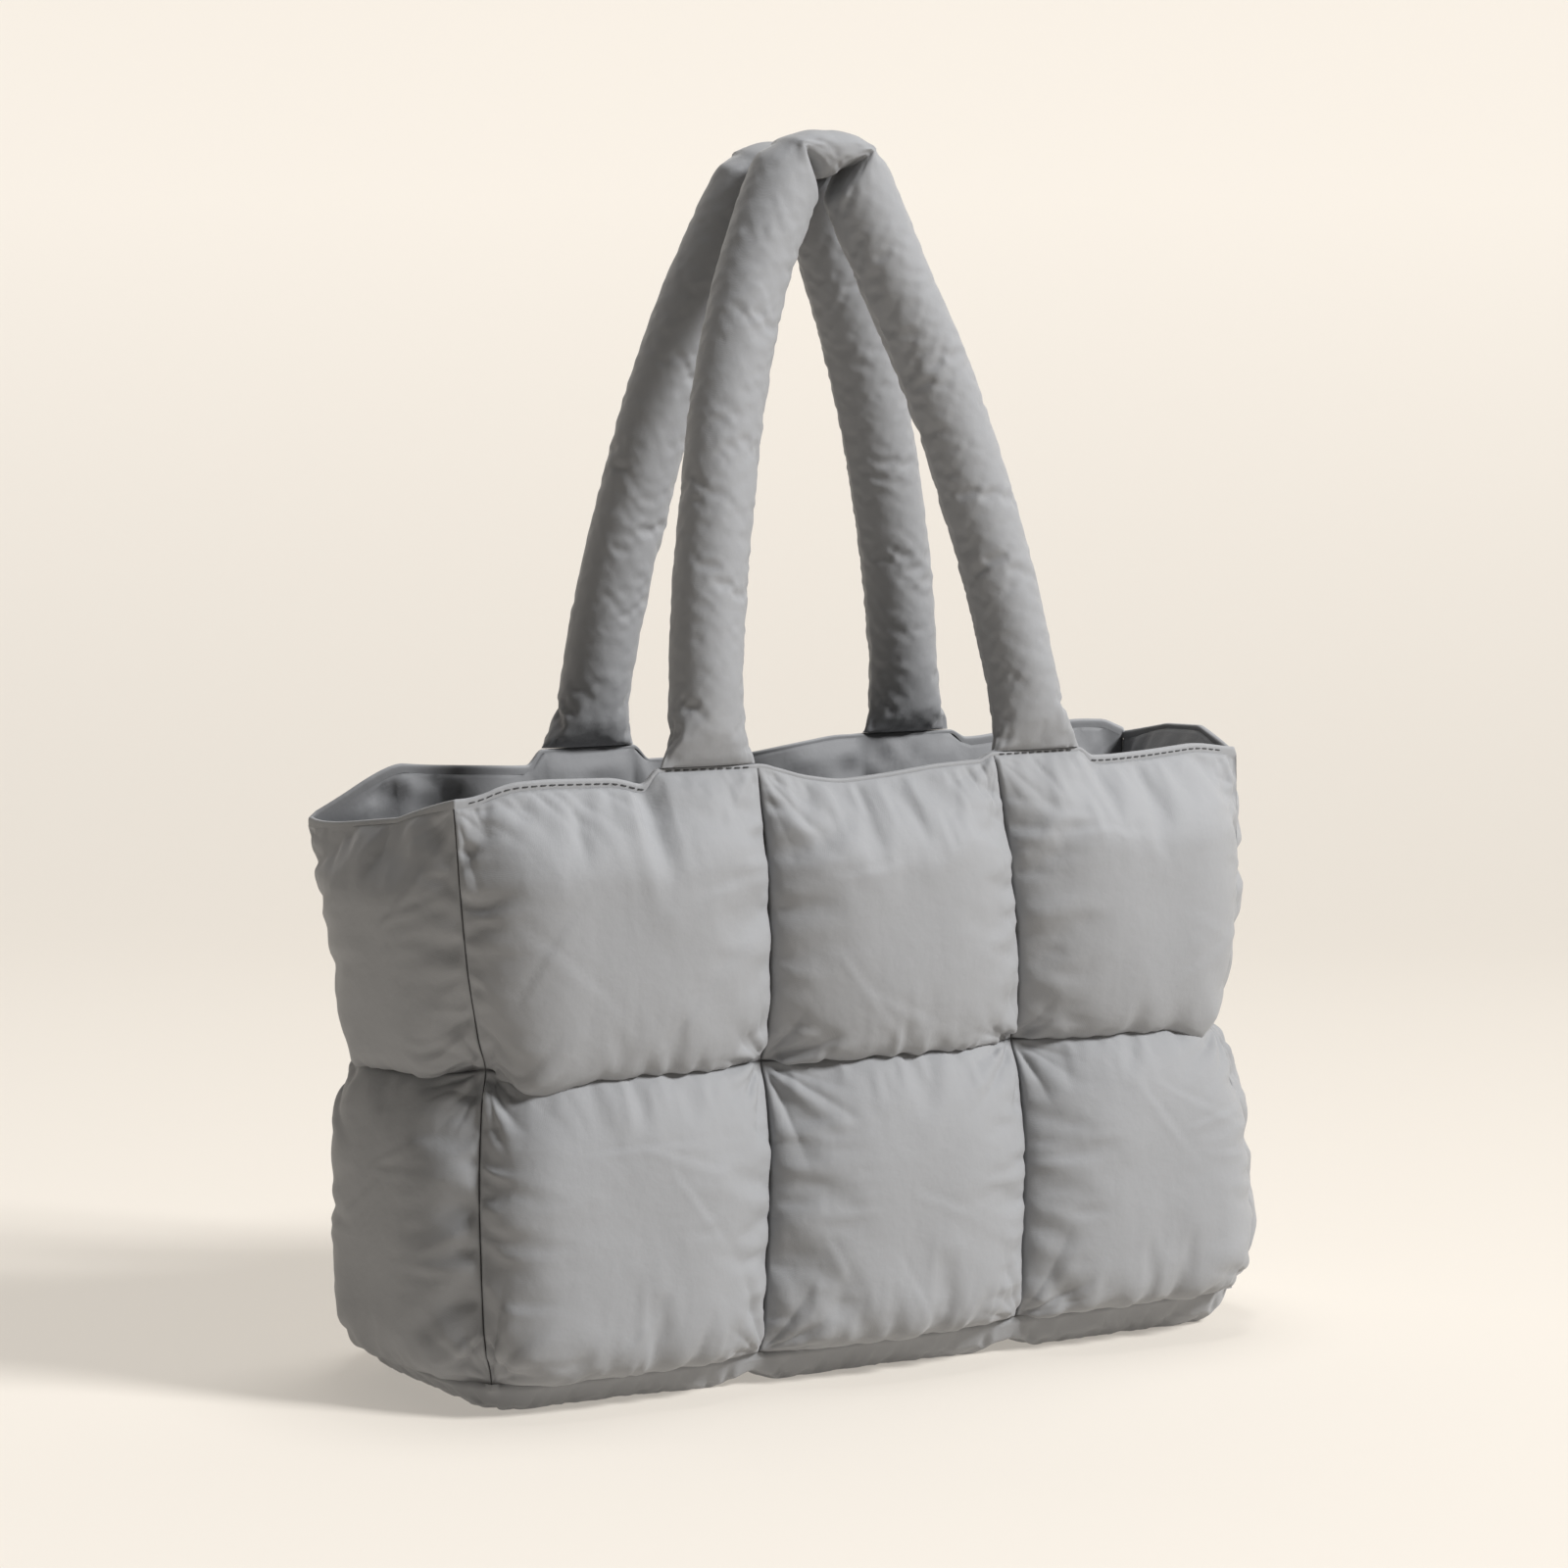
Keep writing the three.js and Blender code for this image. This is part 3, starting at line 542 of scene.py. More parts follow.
class Skin:
    """A grid of cloth, sewn down along its seams: its places s and h, its points at the start, the
    pinned ones, and the slack and stuffing of its cloth. A round one closes on itself across, and
    one that faces inward (seen with s to the right and h up) is stuffed the other way."""

    def __init__(self, s_places, h_places, start, pinned, cloth, from_seam, around=False, inward=False):
        self.s_places = s_places
        self.h_places = h_places
        self.start = start
        self.pinned = pinned
        self.slack = mix(CLOTH[cloth]["seam_slack"], CLOTH[cloth]["slack"], smooth(from_seam / SLACK_REACH))
        self.stuffing = np.full(pinned.shape, CLOTH[cloth]["stuffing"])
        self.around = around
        self.inward = inward
        self.filled = start


def wall_places(wall, steps, density=0):
    """Places across a wall and up it."""
    across = grid_places(np.diff(column_edges(wall, "waist")), steps, density)
    return across, grid_places(ROW_SIZES, steps, density)


def wall_skin(wall, side):
    """The outside (side 1) or lining (side -1) of a wall, as a Skin."""
    steps = SKIN_STEPS if side > 0 else 1
    s_places, h_places = wall_places(wall, steps)
    s, h = np.meshgrid(s_places, h_places)
    seat, normal = wall_seat(wall, s, h)
    start = seat + side * (SEAM_THICKNESS / 2 + FIRST_PUFF * quilt_share(s, h))[..., None] * normal
    cloth = "outside" if side > 0 else "lining"
    from_seam = np.minimum(*seam_distances(wall, s, h))
    return Skin(s_places, h_places, start, on_seam(s) | on_seam(h), cloth, from_seam, inward=side < 0)


def seam_distances(wall, s, h):
    """Distance of places on a wall to its nearest upright and level seam."""
    width, column = cell_widths(wall, s)
    share, up = s - column, h - np.minimum(np.floor(h), 1)
    rows = np.where(h < 1, ROW_SIZES[0], BODY_HEIGHT - ROW_SEAM_HEIGHT)
    return np.minimum(share, 1 - share) * width, np.minimum(up, 1 - up) * rows


def steep_rise(distance, reach):
    """A puff's rise from a quilting seam, nearly a quarter of an ellipse, from 0 to 1."""
    return np.sqrt(1 - (1 - np.clip(distance / reach, 0, 1)) ** 2.2)


def gentle_rise(distance, reach):
    """A puff's rise from a corner or the hem, a quarter of a sine from 0 to 1."""
    return np.sin(np.pi / 2 * np.clip(distance / reach, 0, 1))


def puff_depth(wall, s, h):
    """How far a puff stands out of its seams: the product of its rises from its four edges."""
    width, column = cell_widths(wall, s)
    share = s - column
    last = WALLS[wall]["columns"] - 1
    corner = np.where(h < 1, LOWER_CORNER_RISE, UPPER_CORNER_RISE)

    def side_rise(distance, at_corner):
        steep = steep_rise(distance, np.minimum(QUILT_REACH, width / 2))
        gentle = gentle_rise(distance, np.minimum(corner, width / 2))
        return np.where(at_corner, gentle, steep)

    foot = np.where(h < 1, BASE_SEAM_HEIGHT, ROW_SEAM_HEIGHT)
    top = np.where(h < 1, ROW_SEAM_HEIGHT, BODY_HEIGHT - HEM_HEIGHT)
    up = np.where(h < 1, h, h - 1) * (top - foot)
    down = top - foot - up
    head = np.where(h < 1, steep_rise(down, QUILT_REACH), gentle_rise(down, HEM_REACH))
    heel = steep_rise(up, np.where(h < 1, FOOT_REACH, QUILT_REACH))
    depth = np.where(h < 1, PUFFS[wall]["lower"], PUFFS[wall]["upper"])
    return (depth * side_rise(share * width, column == 0)
            * side_rise((1 - share) * width, column == last) * heel * head)


def droop(wall, s, h):
    """How far a puff hangs down for each millimetre that it stands out, most at its foot and, in the
    upper row, a little beside the bag's corners."""
    up = np.where(h < 1, h, h - 1)
    _, _, _, along = plan_at(wall, "waist", s)
    from_corner = np.minimum(along, chord(wall, "waist")[2] - along)
    sag = CORNER_SAG * np.exp(-((from_corner - CORNER_SAG_PLACE) / CORNER_SAG_REACH) ** 2)
    return np.where(h < 1, LOWER_DROOP, UPPER_DROOP + sag) * (1 - smooth(up / 0.6))


def less_quartic(heights, places):
    """What is left of heights down each column of a grid, less the quartic that fits them best in
    each cell: the folds without the puff."""
    left = np.zeros_like(heights)
    for cell in range(round(places[-1])):
        inside = np.flatnonzero((places > cell - 1e-6) & (places < cell + 1 + 1e-6))
        powers = np.vander(places[inside] - cell, 5)
        fitted = powers @ np.linalg.lstsq(powers, heights[inside], rcond=None)[0]
        left[inside] = heights[inside] - fitted
    return left


def softened(heights, times):
    """Heights averaged with their neighbours in the same row, a number of times."""
    for _ in range(times):
        heights = np.pad(heights, ((0, 0), (1, 1)), mode="edge")
        heights = (heights[:, :-2] + 2 * heights[:, 1:-1] + heights[:, 2:]) / 4
    return heights


def stuffed_folds(wall, skin):
    """Heights of the folds in a wall's stuffed cloth, on its own grid: those that cross the upright
    seams beside them, those that cross the level ones, and both between."""
    s, h = np.meshgrid(skin.s_places, skin.h_places)
    seat, normal = wall_seat(wall, s, h)
    out = ((skin.filled - seat) * normal).sum(-1)
    level_folds = softened(less_quartic(out, skin.h_places), FOLD_LENGTH)
    upright_folds = softened(less_quartic(out.T, skin.s_places), FOLD_LENGTH).T
    from_upright, from_level = seam_distances(wall, s, h)
    share = from_level / (from_upright + from_level + 1e-9)
    sewn = smooth(np.minimum(from_upright, from_level) / FOLD_SEWN)
    return mix(upright_folds, level_folds, share) * sewn


def plump_outside(wall, skin, stuffed, seed):
    """The finished outside of a wall: the form of its puffs, the folds of the stuffed cloth carried
    onto it and the small folds on those."""
    s_places, h_places = wall_places(wall, SKIN_STEPS * FINER[wall], SEAM_DENSITY)
    s, h = np.meshgrid(s_places, h_places)
    seat, normal = wall_seat(wall, s, h)
    rise = puff_depth(wall, s, h)
    form = seat + (SEAM_THICKNESS / 2 + rise)[..., None] * normal
    form[..., 2] -= droop(wall, s, h) * rise
    if stuffed:
        folded = refine(stuffed_folds(wall, skin), skin, s_places, h_places)
        form = form + FOLD_GAIN * folded[..., None] * grid_normals(form)
    return crinkle(form, wall, s, h, seed)


def base_edge(wall, s):
    """The outside of a wall's foot."""
    point, normal, _, _ = plan_at(wall, "base", s)
    return point + (SEAM_THICKNESS / 2 - corner_tuck(wall, s, 0))[..., None] * normal


def base_places(steps, density=0):
    """Places across the base and from its front to its back."""
    across = grid_places(np.diff(column_edges("front", "waist")), steps, density)
    return across, grid_places([LEVELS["base"]["depth"]], steps, density)


def base_skin(side):
    """The underside (side 1) or lining (side -1) of the base: front and back edges joined by
    straight lines, shifted at the ends to follow the sides. The underside falls from its rim in a
    quarter of an ellipse to the floor and is pinched up at its two seams."""
    steps = SKIN_STEPS if side > 0 else 1
    depth = LEVELS["base"]["depth"]
    s_places, d_places = base_places(steps)
    s, d = np.meshgrid(s_places, d_places)
    front, back = base_edge("front", s), base_edge("back", 3 - s)
    point = mix(front, back, d[..., None])
    along = (front[..., 0] - front[:, :1, 0]) / (front[:, -1:, 0] - front[:, :1, 0])
    for wall, column, share in (("left", 0, 1 - along), ("right", -1, along)):
        side_edge = base_edge(wall, 1 - d[:, column] if wall == "left" else d[:, column])
        point = point + (side_edge - point[:, column])[:, None] * share[..., None]
    rim = base_seam_height(point[..., 0]) - SEAM_GAP / 2
    if side > 0:
        reach = mix(BASE_EDGE_REACH, BASE_EDGE_REACH_AT_RIGHT, along)
        from_end = np.minimum(along, 1 - along) * LEVELS["base"]["width"]
        edge_x = 1 - np.minimum(from_end / reach, 1)
        edge_y = 1 - np.minimum(np.minimum(d, 1 - d) * depth / reach, 1)
        edge = np.minimum((edge_x ** 4 + edge_y ** 4) ** 0.25, 1)
        fall = (rim - SEAM_THICKNESS) * (1 - np.sqrt(1 - edge ** 2))
        from_seam = np.minimum(np.abs(s - 1), np.abs(s - 2)) * LEVELS["base"]["column"]
        height = np.maximum(fall, BASE_SEAM_RISE * np.exp(-(from_seam / BASE_SEAM_REACH) ** 2))
    else:
        height = rim + FIRST_PUFF * pillow(d) * pillow(s - np.floor(s))
    start = np.concatenate([point, height[..., None]], -1)
    cloth = "underside" if side > 0 else "lining"
    share = s - np.clip(np.floor(s), 0, 2)
    from_seam = np.minimum(share, 1 - share) * LEVELS["base"]["column"]
    from_seam = np.minimum(from_seam, np.minimum(d, 1 - d) * depth)
    return Skin(s_places, d_places, start, on_seam(s) | on_seam(d), cloth, from_seam, inward=side > 0)


# The handle's centreline from an end up to the apex, as shares of its rise, of the half distance
# between its ends and of the distance by which its legs lean
HANDLE_ROUTE = np.array([
    (0.0, 1.0, 0.0), (0.06, 0.985, 0.1), (0.18, 0.93, 0.25), (0.31, 0.855, 0.35),
    (0.44, 0.76, 0.5), (0.54, 0.68, 0.65), (0.65, 0.575, 0.8), (0.76, 0.45, 1.0),
    (0.865, 0.315, 0.95), (0.935, 0.215, 0.85), (0.975, 0.115, 0.7), (0.985, 0.0, 0.6),
])

# The handle's section: share of the half length, then its width in the handle's plane and its
# thickness across it, as shares of the diameter
HANDLE_SECTIONS = np.array([
    (0.0, 1.45, 0.21), (0.045, 1.2, 0.72), (0.12, 1.03, 0.96), (0.3, 0.98, 1.0), (0.52, 1.0, 0.97),
    (0.72, 0.96, 1.02), (0.86, 1.0, 1.0), (0.925, 0.98, 1.0), (0.95, 0.66, 1.04), (1.0, 0.58, 1.06),
])


def run_along(path):
    """Distance along a path of each of its points from the first one."""
    return np.concatenate([[0], np.cumsum(np.linalg.norm(np.diff(path, axis=0), axis=1))])


def at_runs(runs, run, values):
    """Rows of values, known at run, at other distances along the path."""
    return np.stack([np.interp(runs, run, values[:, axis]) for axis in range(3)], -1)


def smooth_path(points, count):
    """A Catmull-Rom curve through the points, as count points evenly spaced along it."""
    ends = np.concatenate([2 * points[:1] - points[1:2], points, 2 * points[-1:] - points[-2:-1]])
    t = np.linspace(0, len(points) - 1, 40 * len(points))
    k = np.minimum(t.astype(int), len(points) - 2)
    u = (t - k)[:, None]
    a, b, c, d = ends[k], ends[k + 1], ends[k + 2], ends[k + 3]
    square, cube = (2 * a - 5 * b + 4 * c - d), (3 * b - a - 3 * c + d)
    dense = 0.5 * (2 * b + (c - a) * u + square * u ** 2 + cube * u ** 3)
    run = run_along(dense)
    return at_runs(np.linspace(0, run[-1], count), run, dense), run[-1]


def handle_ends(name):
    """Where the middle of each end sits on its tab, from left to right."""
    edges = column_edges(name, "mouth")
    middle = HANDLE_END_WIDTH / 2 / (edges[3] - edges[2])
    point, _, _, _ = plan_at(name, "mouth", np.array([1 - middle, 2 + middle]))
    ends = np.concatenate([point, np.full((2, 1), BODY_HEIGHT + TAB_RISE + SEAM_GAP)], -1)
    return ends[np.argsort(ends[:, 0])]


def handle_skin(name):
    """A handle's tube of cloth: oval rings carried along its centreline. Its lengthwise seam, on the
    inner edge, is pinned."""
    handle = HANDLES[name]
    left, right = handle_ends(name)
    apex = np.array([(left[0] + right[0]) / 2, handle["apex"], left[2] + handle["rise"]])
    rise, spread, lean = HANDLE_ROUTE.T

    def leg(end):
        x = mix(apex[0], end[0], spread) - handle["lean"] * lean
        return np.stack([x, mix(end[1], apex[1], rise), mix(end[2], apex[2], rise)], -1)

    route = np.concatenate([leg(left), leg(right)[::-1][1:]])
    length = smooth_path(route, 10)[1]
    count = round(length / HANDLE_STEP) + 1
    centre, _ = smooth_path(route, count)
    tangent = unit(np.gradient(centre, axis=0))
    tangent[0], tangent[-1] = (0, 0, 1), (0, 0, -1)
    plane = unit(np.cross(right - left, apex - left))
    outer = unit(np.cross(tangent, plane))
    outer *= np.sign((outer * (centre - apex * (1, 1, 0.6))).sum(-1, keepdims=True))
    place = np.linspace(0, 1, count)
    from_end = 1 - np.abs(2 * place - 1)
    wide = np.interp(from_end, HANDLE_SECTIONS[:, 0], HANDLE_SECTIONS[:, 1]) * HANDLE_DIAMETER
    thick = np.interp(from_end, HANDLE_SECTIONS[:, 0], HANDLE_SECTIONS[:, 2]) * HANDLE_DIAMETER
    turn = np.arange(HANDLE_SIDES) / HANDLE_SIDES * 2 * np.pi
    across = -np.cos(turn)[None, :, None] * (wide / 2)[:, None, None] * outer[:, None]
    through = np.sin(turn)[None, :, None] * (thick / 2)[:, None, None] * np.cross(outer, tangent)[:, None]
    start = centre[:, None] + across + through
    pinned = np.zeros(start.shape[:2], bool)
    pinned[[0, -1]] = True
    pinned[:, 0] = True
    from_seam = 0 * start[..., 0]
    skin = Skin(np.arange(HANDLE_SIDES + 1.0), place, start, pinned, "handle", from_seam, around=True)
    skin.outer = outer
    return skin


def noise(u, v, seed):
    """Smooth noise between -1 and 1 at places u and v, one bump for each whole step of either:
    random numbers on a lattice, joined by soft steps."""
    table = np.random.default_rng(seed).uniform(-1, 1, (61, 61))
    i, j = np.floor(u).astype(int), np.floor(v).astype(int)
    a, b = smooth(u - i), smooth(v - j)
    low = mix(table[i % 61, j % 61], table[(i + 1) % 61, j % 61], a)
    high = mix(table[i % 61, (j + 1) % 61], table[(i + 1) % 61, (j + 1) % 61], a)
    return mix(low, high, b)


def folds(u, v, seed):
    """Rounded ridges with narrow valleys between them, where the noise crosses zero."""
    return np.sqrt(np.abs(noise(u, v, seed)) + 0.01) - 0.6


def grid_faces(rows, columns, first=0, around=False):
    """Quads of a grid, seen from the side where columns run right and rows run up."""
    j, i = np.meshgrid(np.arange(rows - 1), np.arange(columns if around else columns - 1), indexing="ij")
    beside = (i + 1) % columns
    a, b = (first + j * columns + i).ravel(), (first + j * columns + beside).ravel()
    return np.stack([a, b, b + columns, a + columns], -1)


def mesh_object(name, points, faces):
    """A mesh from points and a list of faces, in the scene."""
    mesh = bpy.data.meshes.new(name)
    mesh.from_pydata(points.reshape(-1, 3), [], faces)
    mesh.update()
    obj = bpy.data.objects.new(name, mesh)
    bpy.context.scene.collection.objects.link(obj)
    return obj


def weigh(obj, name, weights):
    """A vertex group whose weights, each between 0 and 1, are rounded to hundredths."""
    group = obj.vertex_groups.new(name=name)
    steps = np.round(weights * 100).astype(int)
    for step in np.unique(steps):
        group.add(np.flatnonzero(steps == step).tolist(), float(step) / 100, "REPLACE")
    return name


def stuff(skins):
    """Blows the skins out by cloth simulation: each one is held at its pinned points, its springs
    are longer than its grid by its slack, and its stuffing presses it outwards."""
    sizes = [skin.pinned.size for skin in skins]
    firsts = np.concatenate([[0], np.cumsum(sizes)])
    jitter = np.random.default_rng(STUFFING_SEED)
    starts = [skin.start + jitter.uniform(-UNEVEN, UNEVEN, skin.start.shape) * ~skin.pinned[..., None]
              for skin in skins]
    points = np.concatenate([start.reshape(-1, 3) for start in starts])
    faces = []
    for skin, first in zip(skins, firsts):
        turn = -1 if skin.inward else 1
        faces += grid_faces(*skin.start.shape[:2], first, skin.around)[:, ::turn].tolist()
    obj = mesh_object("skins", points, faces)
    slack = np.concatenate([skin.slack.ravel() for skin in skins])
    stuffing = np.concatenate([skin.stuffing.ravel() for skin in skins])
    pinned = np.concatenate([skin.pinned.ravel() for skin in skins])
    cloth = obj.modifiers.new("stuffing", "CLOTH")
    settings = cloth.settings
    for setting, value in CLOTH_SETTINGS.items():
        setattr(settings, setting, value)
    settings.use_pressure = True
    settings.uniform_pressure_force = MOST_STUFFING
    settings.vertex_group_pressure = weigh(obj, "stuffing", stuffing)
    settings.shrink_min = -MOST_SLACK
    settings.shrink_max = 0
    settings.vertex_group_shrink = weigh(obj, "tightness", 1 - np.clip(slack / MOST_SLACK, 0, 1))
    settings.vertex_group_mass = weigh(obj, "pins", pinned.astype(float))
    settings.effector_weights.gravity = 0
    cloth.collision_settings.use_collision = False
    cloth.point_cache.frame_start = 1
    cloth.point_cache.frame_end = FILL_FRAMES
    for number in range(1, FILL_FRAMES + 1):
        bpy.context.scene.frame_set(number)
    settled = obj.evaluated_get(bpy.context.evaluated_depsgraph_get())
    mesh = settled.to_mesh()
    filled = np.empty(len(mesh.vertices) * 3)
    mesh.vertices.foreach_get("co", filled)
    settled.to_mesh_clear()
    bpy.data.objects.remove(obj)
    bpy.context.scene.frame_set(1)
    for skin, first, size in zip(skins, firsts, sizes):
        skin.filled = filled.reshape(-1, 3)[first:first + size].reshape(skin.start.shape)


def refine_along(points, places, new_places):
    """Points of each column of a grid at new places down it, by cubics that pass through its points
    with the slope between their neighbours. The cloth folds at whole places, so none crosses one."""
    out = np.empty((len(new_places),) + points.shape[1:])
    shape = (-1,) + (1,) * (points.ndim - 1)
    for cell in range(int(round(places[-1] - places[0]))):
        inside = np.flatnonzero((places > cell - 1e-6) & (places < cell + 1 + 1e-6))
        cell_places, cell_points = places[inside], points[inside]
        slope = np.gradient(cell_points, cell_places, axis=0)
        new = np.flatnonzero((new_places > cell - 1e-6) & (new_places < cell + 1 + 1e-6))
        k = np.searchsorted(cell_places, new_places[new], side="right") - 1
        k = np.clip(k, 0, len(inside) - 2)
        span = cell_places[k + 1] - cell_places[k]
        u = ((new_places[new] - cell_places[k]) / span).reshape(shape)
        span = span.reshape(shape)
        low, high = 2 * u ** 3 - 3 * u ** 2 + 1, 3 * u ** 2 - 2 * u ** 3
        low_slope, high_slope = (u ** 3 - 2 * u ** 2 + u) * span, (u ** 3 - u ** 2) * span
        out[new] = (low * cell_points[k] + high * cell_points[k + 1]
                    + low_slope * slope[k] + high_slope * slope[k + 1])
    return out


def refine(values, skin, s_places, h_places):
    """Values on a skin's grid, such as its filled points, at finer places across and up."""
    tall = refine_along(values, skin.h_places, h_places)
    return refine_along(tall.swapaxes(0, 1), skin.s_places, s_places).swapaxes(0, 1)


def grid_normals(points):
    """Outward normals of a grid: the cross product of its steps across and up."""
    return unit(np.cross(np.gradient(points, axis=1), np.gradient(points, axis=0)) + 1e-12)


def rim_loop(rows, columns):
    """Indices round the edge of a grid: along its first row, up, back along its last row and down."""
    index = np.arange(rows * columns).reshape(rows, columns)
    return np.concatenate([index[0, :-1], index[:-1, -1], index[-1, :0:-1], index[:0:-1, 0]])


def closed_sheet(outside, lining):
    """Points and faces of a padded piece: its outside, its coarser lining and the strips that join
    their rims, where one edge of the lining meets several of the outside."""
    layer = outside.shape[0] * outside.shape[1]
    outer_rim = rim_loop(*outside.shape[:2])
    inner_rim = layer + rim_loop(*lining.shape[:2])
    ratio = len(outer_rim) // len(inner_rim)
    steps = ratio * np.arange(len(inner_rim))[:, None] + np.arange(ratio, -1, -1)[None, :]
    strip = np.concatenate([outer_rim[steps % len(outer_rim)], inner_rim[:, None],
                            np.roll(inner_rim, -1)[:, None]], axis=1)
    faces = grid_faces(*outside.shape[:2]).tolist() + strip.tolist()
    faces += grid_faces(*lining.shape[:2], first=layer)[:, ::-1].tolist()
    return np.concatenate([outside.reshape(-1, 3), lining.reshape(-1, 3)]), faces


def crease(x, y, start, end, depth, width):
    """A sharp valley from start to end, with a soft ridge along one side: the valley is an
    exponential of the distance, the ridge that of its square, and both die out towards the end."""
    way = np.subtract(end, start)
    length = np.linalg.norm(way)
    run = ((x - start[0]) * way[0] + (y - start[1]) * way[1]) / length ** 2
    off = ((x - start[0]) * way[1] - (y - start[1]) * way[0]) / length
    wide = width * (0.6 + 0.7 * np.clip(run, 0, 1))
    valley = np.exp(-np.abs(off) / wide)
    ridge = 0.8 * np.exp(-((off - 1.8 * wide) / (1.3 * wide)) ** 2)
    fade = smooth((run + 0.1) / 0.2) * smooth((1 - run) / 0.75)
    return depth * fade * (ridge - valley)


def corner_creases(x, y, wide, tall, shown, random):
    """Creases that run into a cell from its four corners, and faint lines pressed into it."""
    total = np.zeros_like(x)
    for right, top in ((0, 0), (1, 0), (0, 1), (1, 1)):
        share = shown if top else 1
        turns = random.uniform(-CREASE_TURN, CREASE_TURN, len(CREASE_ANGLES))
        for angle in np.radians(np.array(CREASE_ANGLES) + turns):
            length = random.uniform(*CREASE_LENGTHS)
            depth = share * random.uniform(*CREASE_DEPTHS)
            start = np.array([right * wide, top * tall])
            way = np.array([(1 - 2 * right) * math.cos(angle), (1 - 2 * top) * math.sin(angle)])
            first, last = start + CREASE_START * way, start + length * way
            total += crease(x, y, first, last, depth, CREASE_WIDTH)
    for _ in range(PRESS_LINES):
        first = random.uniform(0.15, 0.85, 2) * (wide, tall)
        angle = random.uniform(-1, 1) * math.pi / 3
        way = np.array([math.cos(angle), math.sin(angle)])
        last = first + random.uniform(*PRESS_LENGTHS) * way
        total += crease(x, y, first, last, PRESS_DEPTH, PRESS_WIDTH)
    return total


def creases(wall, s, h, seed):
    """Creases of all cells of a wall, and the wall's own ones."""
    width, column = cell_widths(wall, s)
    row = np.minimum(np.floor(h), 1)
    x, y = (s - column) * width, (h - row) * np.where(h < 1, *ROW_SIZES)
    random = np.random.default_rng(seed)
    total = np.zeros_like(x)
    for cell, tall in enumerate(ROW_SIZES):
        shown = CREASE_AT_HEM if cell else 1
        for side in range(WALLS[wall]["columns"]):
            inside = (row == cell) & (column == side)
            wide = width[inside].max()
            total[inside] = corner_creases(x[inside], y[inside], wide, tall, shown, random)
    for start, end, depth in OWN_CREASES.get(wall, []):
        corner = np.array([int(start[0]), int(start[1])])
        cell_width = np.diff(column_edges(wall, "waist"))[corner[0]]
        scale = np.array([cell_width, ROW_SIZES[corner[1]]])
        inside = (row == corner[1]) & (column == corner[0])
        first, last = (start - corner) * scale, (end - corner) * scale
        total[inside] += crease(x[inside], y[inside], first, last, depth, CREASE_WIDTH)
    return total


def crinkle(points, wall, s, h, seed):
    """Small folds of thin cloth: gathers that run away from each seam, fine puckers along it, and
    soft dents between."""
    from_upright, from_level = seam_distances(wall, s, h)
    across = points[..., 0] + points[..., 1]
    up = points[..., 2]
    slant = 0.25 * (across - up)
    patches = smooth(0.55 + 0.9 * noise(across / PATCH_SIZE, up / PATCH_SIZE, seed))

    def beside_seams(reach, width, length, number):
        upright = folds((up + slant) / width, across / length, seed + number)
        level = folds((across + slant) / width, up / length, seed + number + 1)
        near_upright = np.exp(-(from_upright / reach) ** 2)
        return near_upright * upright + np.exp(-(from_level / reach) ** 2) * level

    gathers = patches * beside_seams(GATHER_REACH, GATHER_WIDTH, GATHER_LENGTH, 1)
    puckers = beside_seams(PUCKER_REACH, PUCKER_WIDTH, GATHER_LENGTH, 3)
    dents = noise(across / DENT_WIDTH, up / DENT_WIDTH, seed + 5)
    seam = smooth(from_upright / (2 * MM)) * smooth(from_level / (2 * MM))
    depth = seam * (GATHER_DEPTH * gathers + PUCKER_DEPTH * puckers + DENT_DEPTH * dents
                    + creases(wall, s, h, seed + 7))
    return points + depth[..., None] * grid_normals(points)


def make_mesh(name, points, faces, material):
    """A smooth mesh whose rims stay sharp, with its material."""
    obj = mesh_object(name, points, faces)
    obj.data.materials.append(material)
    obj.data.polygons.foreach_set("use_smooth", np.ones(len(obj.data.polygons), bool))
    obj.data.set_sharp_from_angle(angle=math.radians(75))
    obj.data.update()
    return obj


def darken(obj, shares):
    """How dark the material is drawn at each point, as the attribute seam_thread_and_painted_shade: the
    seams' thread lines and painted shade.
    """
    attribute = obj.data.attributes.new("seam_thread_and_painted_shade", "FLOAT", "POINT")
    attribute.data.foreach_set("value", shares)


def padded_piece(part, outer, inner, line, material):
    """One padded piece from the grids of its outside and its lining, with the seams' dark line, partly
    painted shade, as an attribute of its outside, and painted shade over its lining."""
    points, faces = closed_sheet(outer, inner)
    obj = make_mesh(f"{NODES[part]}_quilting", points, faces, material)
    # Painted shade: the lining's points are drawn darker than the outside.
    darken(obj, np.append(line.ravel(), np.full(len(points) - line.size, LINING_PAINTED_SHADE)))
    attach(obj, "root")
    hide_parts(NODES[part])
    return obj


def padded_wall(wall, outside, lining, material, stuffed, seed):
    """A wall from its two skins, its seams drawn as dark lines that fade as the square of the distance:
    thin ones on the upright seams, partly thread and partly painted shade, and wider painted shade in
    the level seam's crevice.
    """
    s, h = np.meshgrid(*wall_places(wall, SKIN_STEPS * FINER[wall], SEAM_DENSITY))
    outer = plump_outside(wall, outside, stuffed, seed)
    inner = refine(lining.filled, lining, *wall_places(wall, FINER["lining"], SEAM_DENSITY))
    inner = creased_lining(wall, inner)
    from_upright, from_level = seam_distances(wall, s, h)
    from_row = np.where(h > 1.5, 1, from_level)
    upright_line = np.exp(-(from_upright / SEAM_LINE) ** 2)
    # Painted shade: the level seam's crevice is darkened wider than the thread line of the upright seams.
    line = np.maximum(upright_line, np.exp(-(from_row / ROW_SEAM_PAINTED_SHADE_REACH) ** 2))
    return padded_piece(wall, outer, inner, line, material)


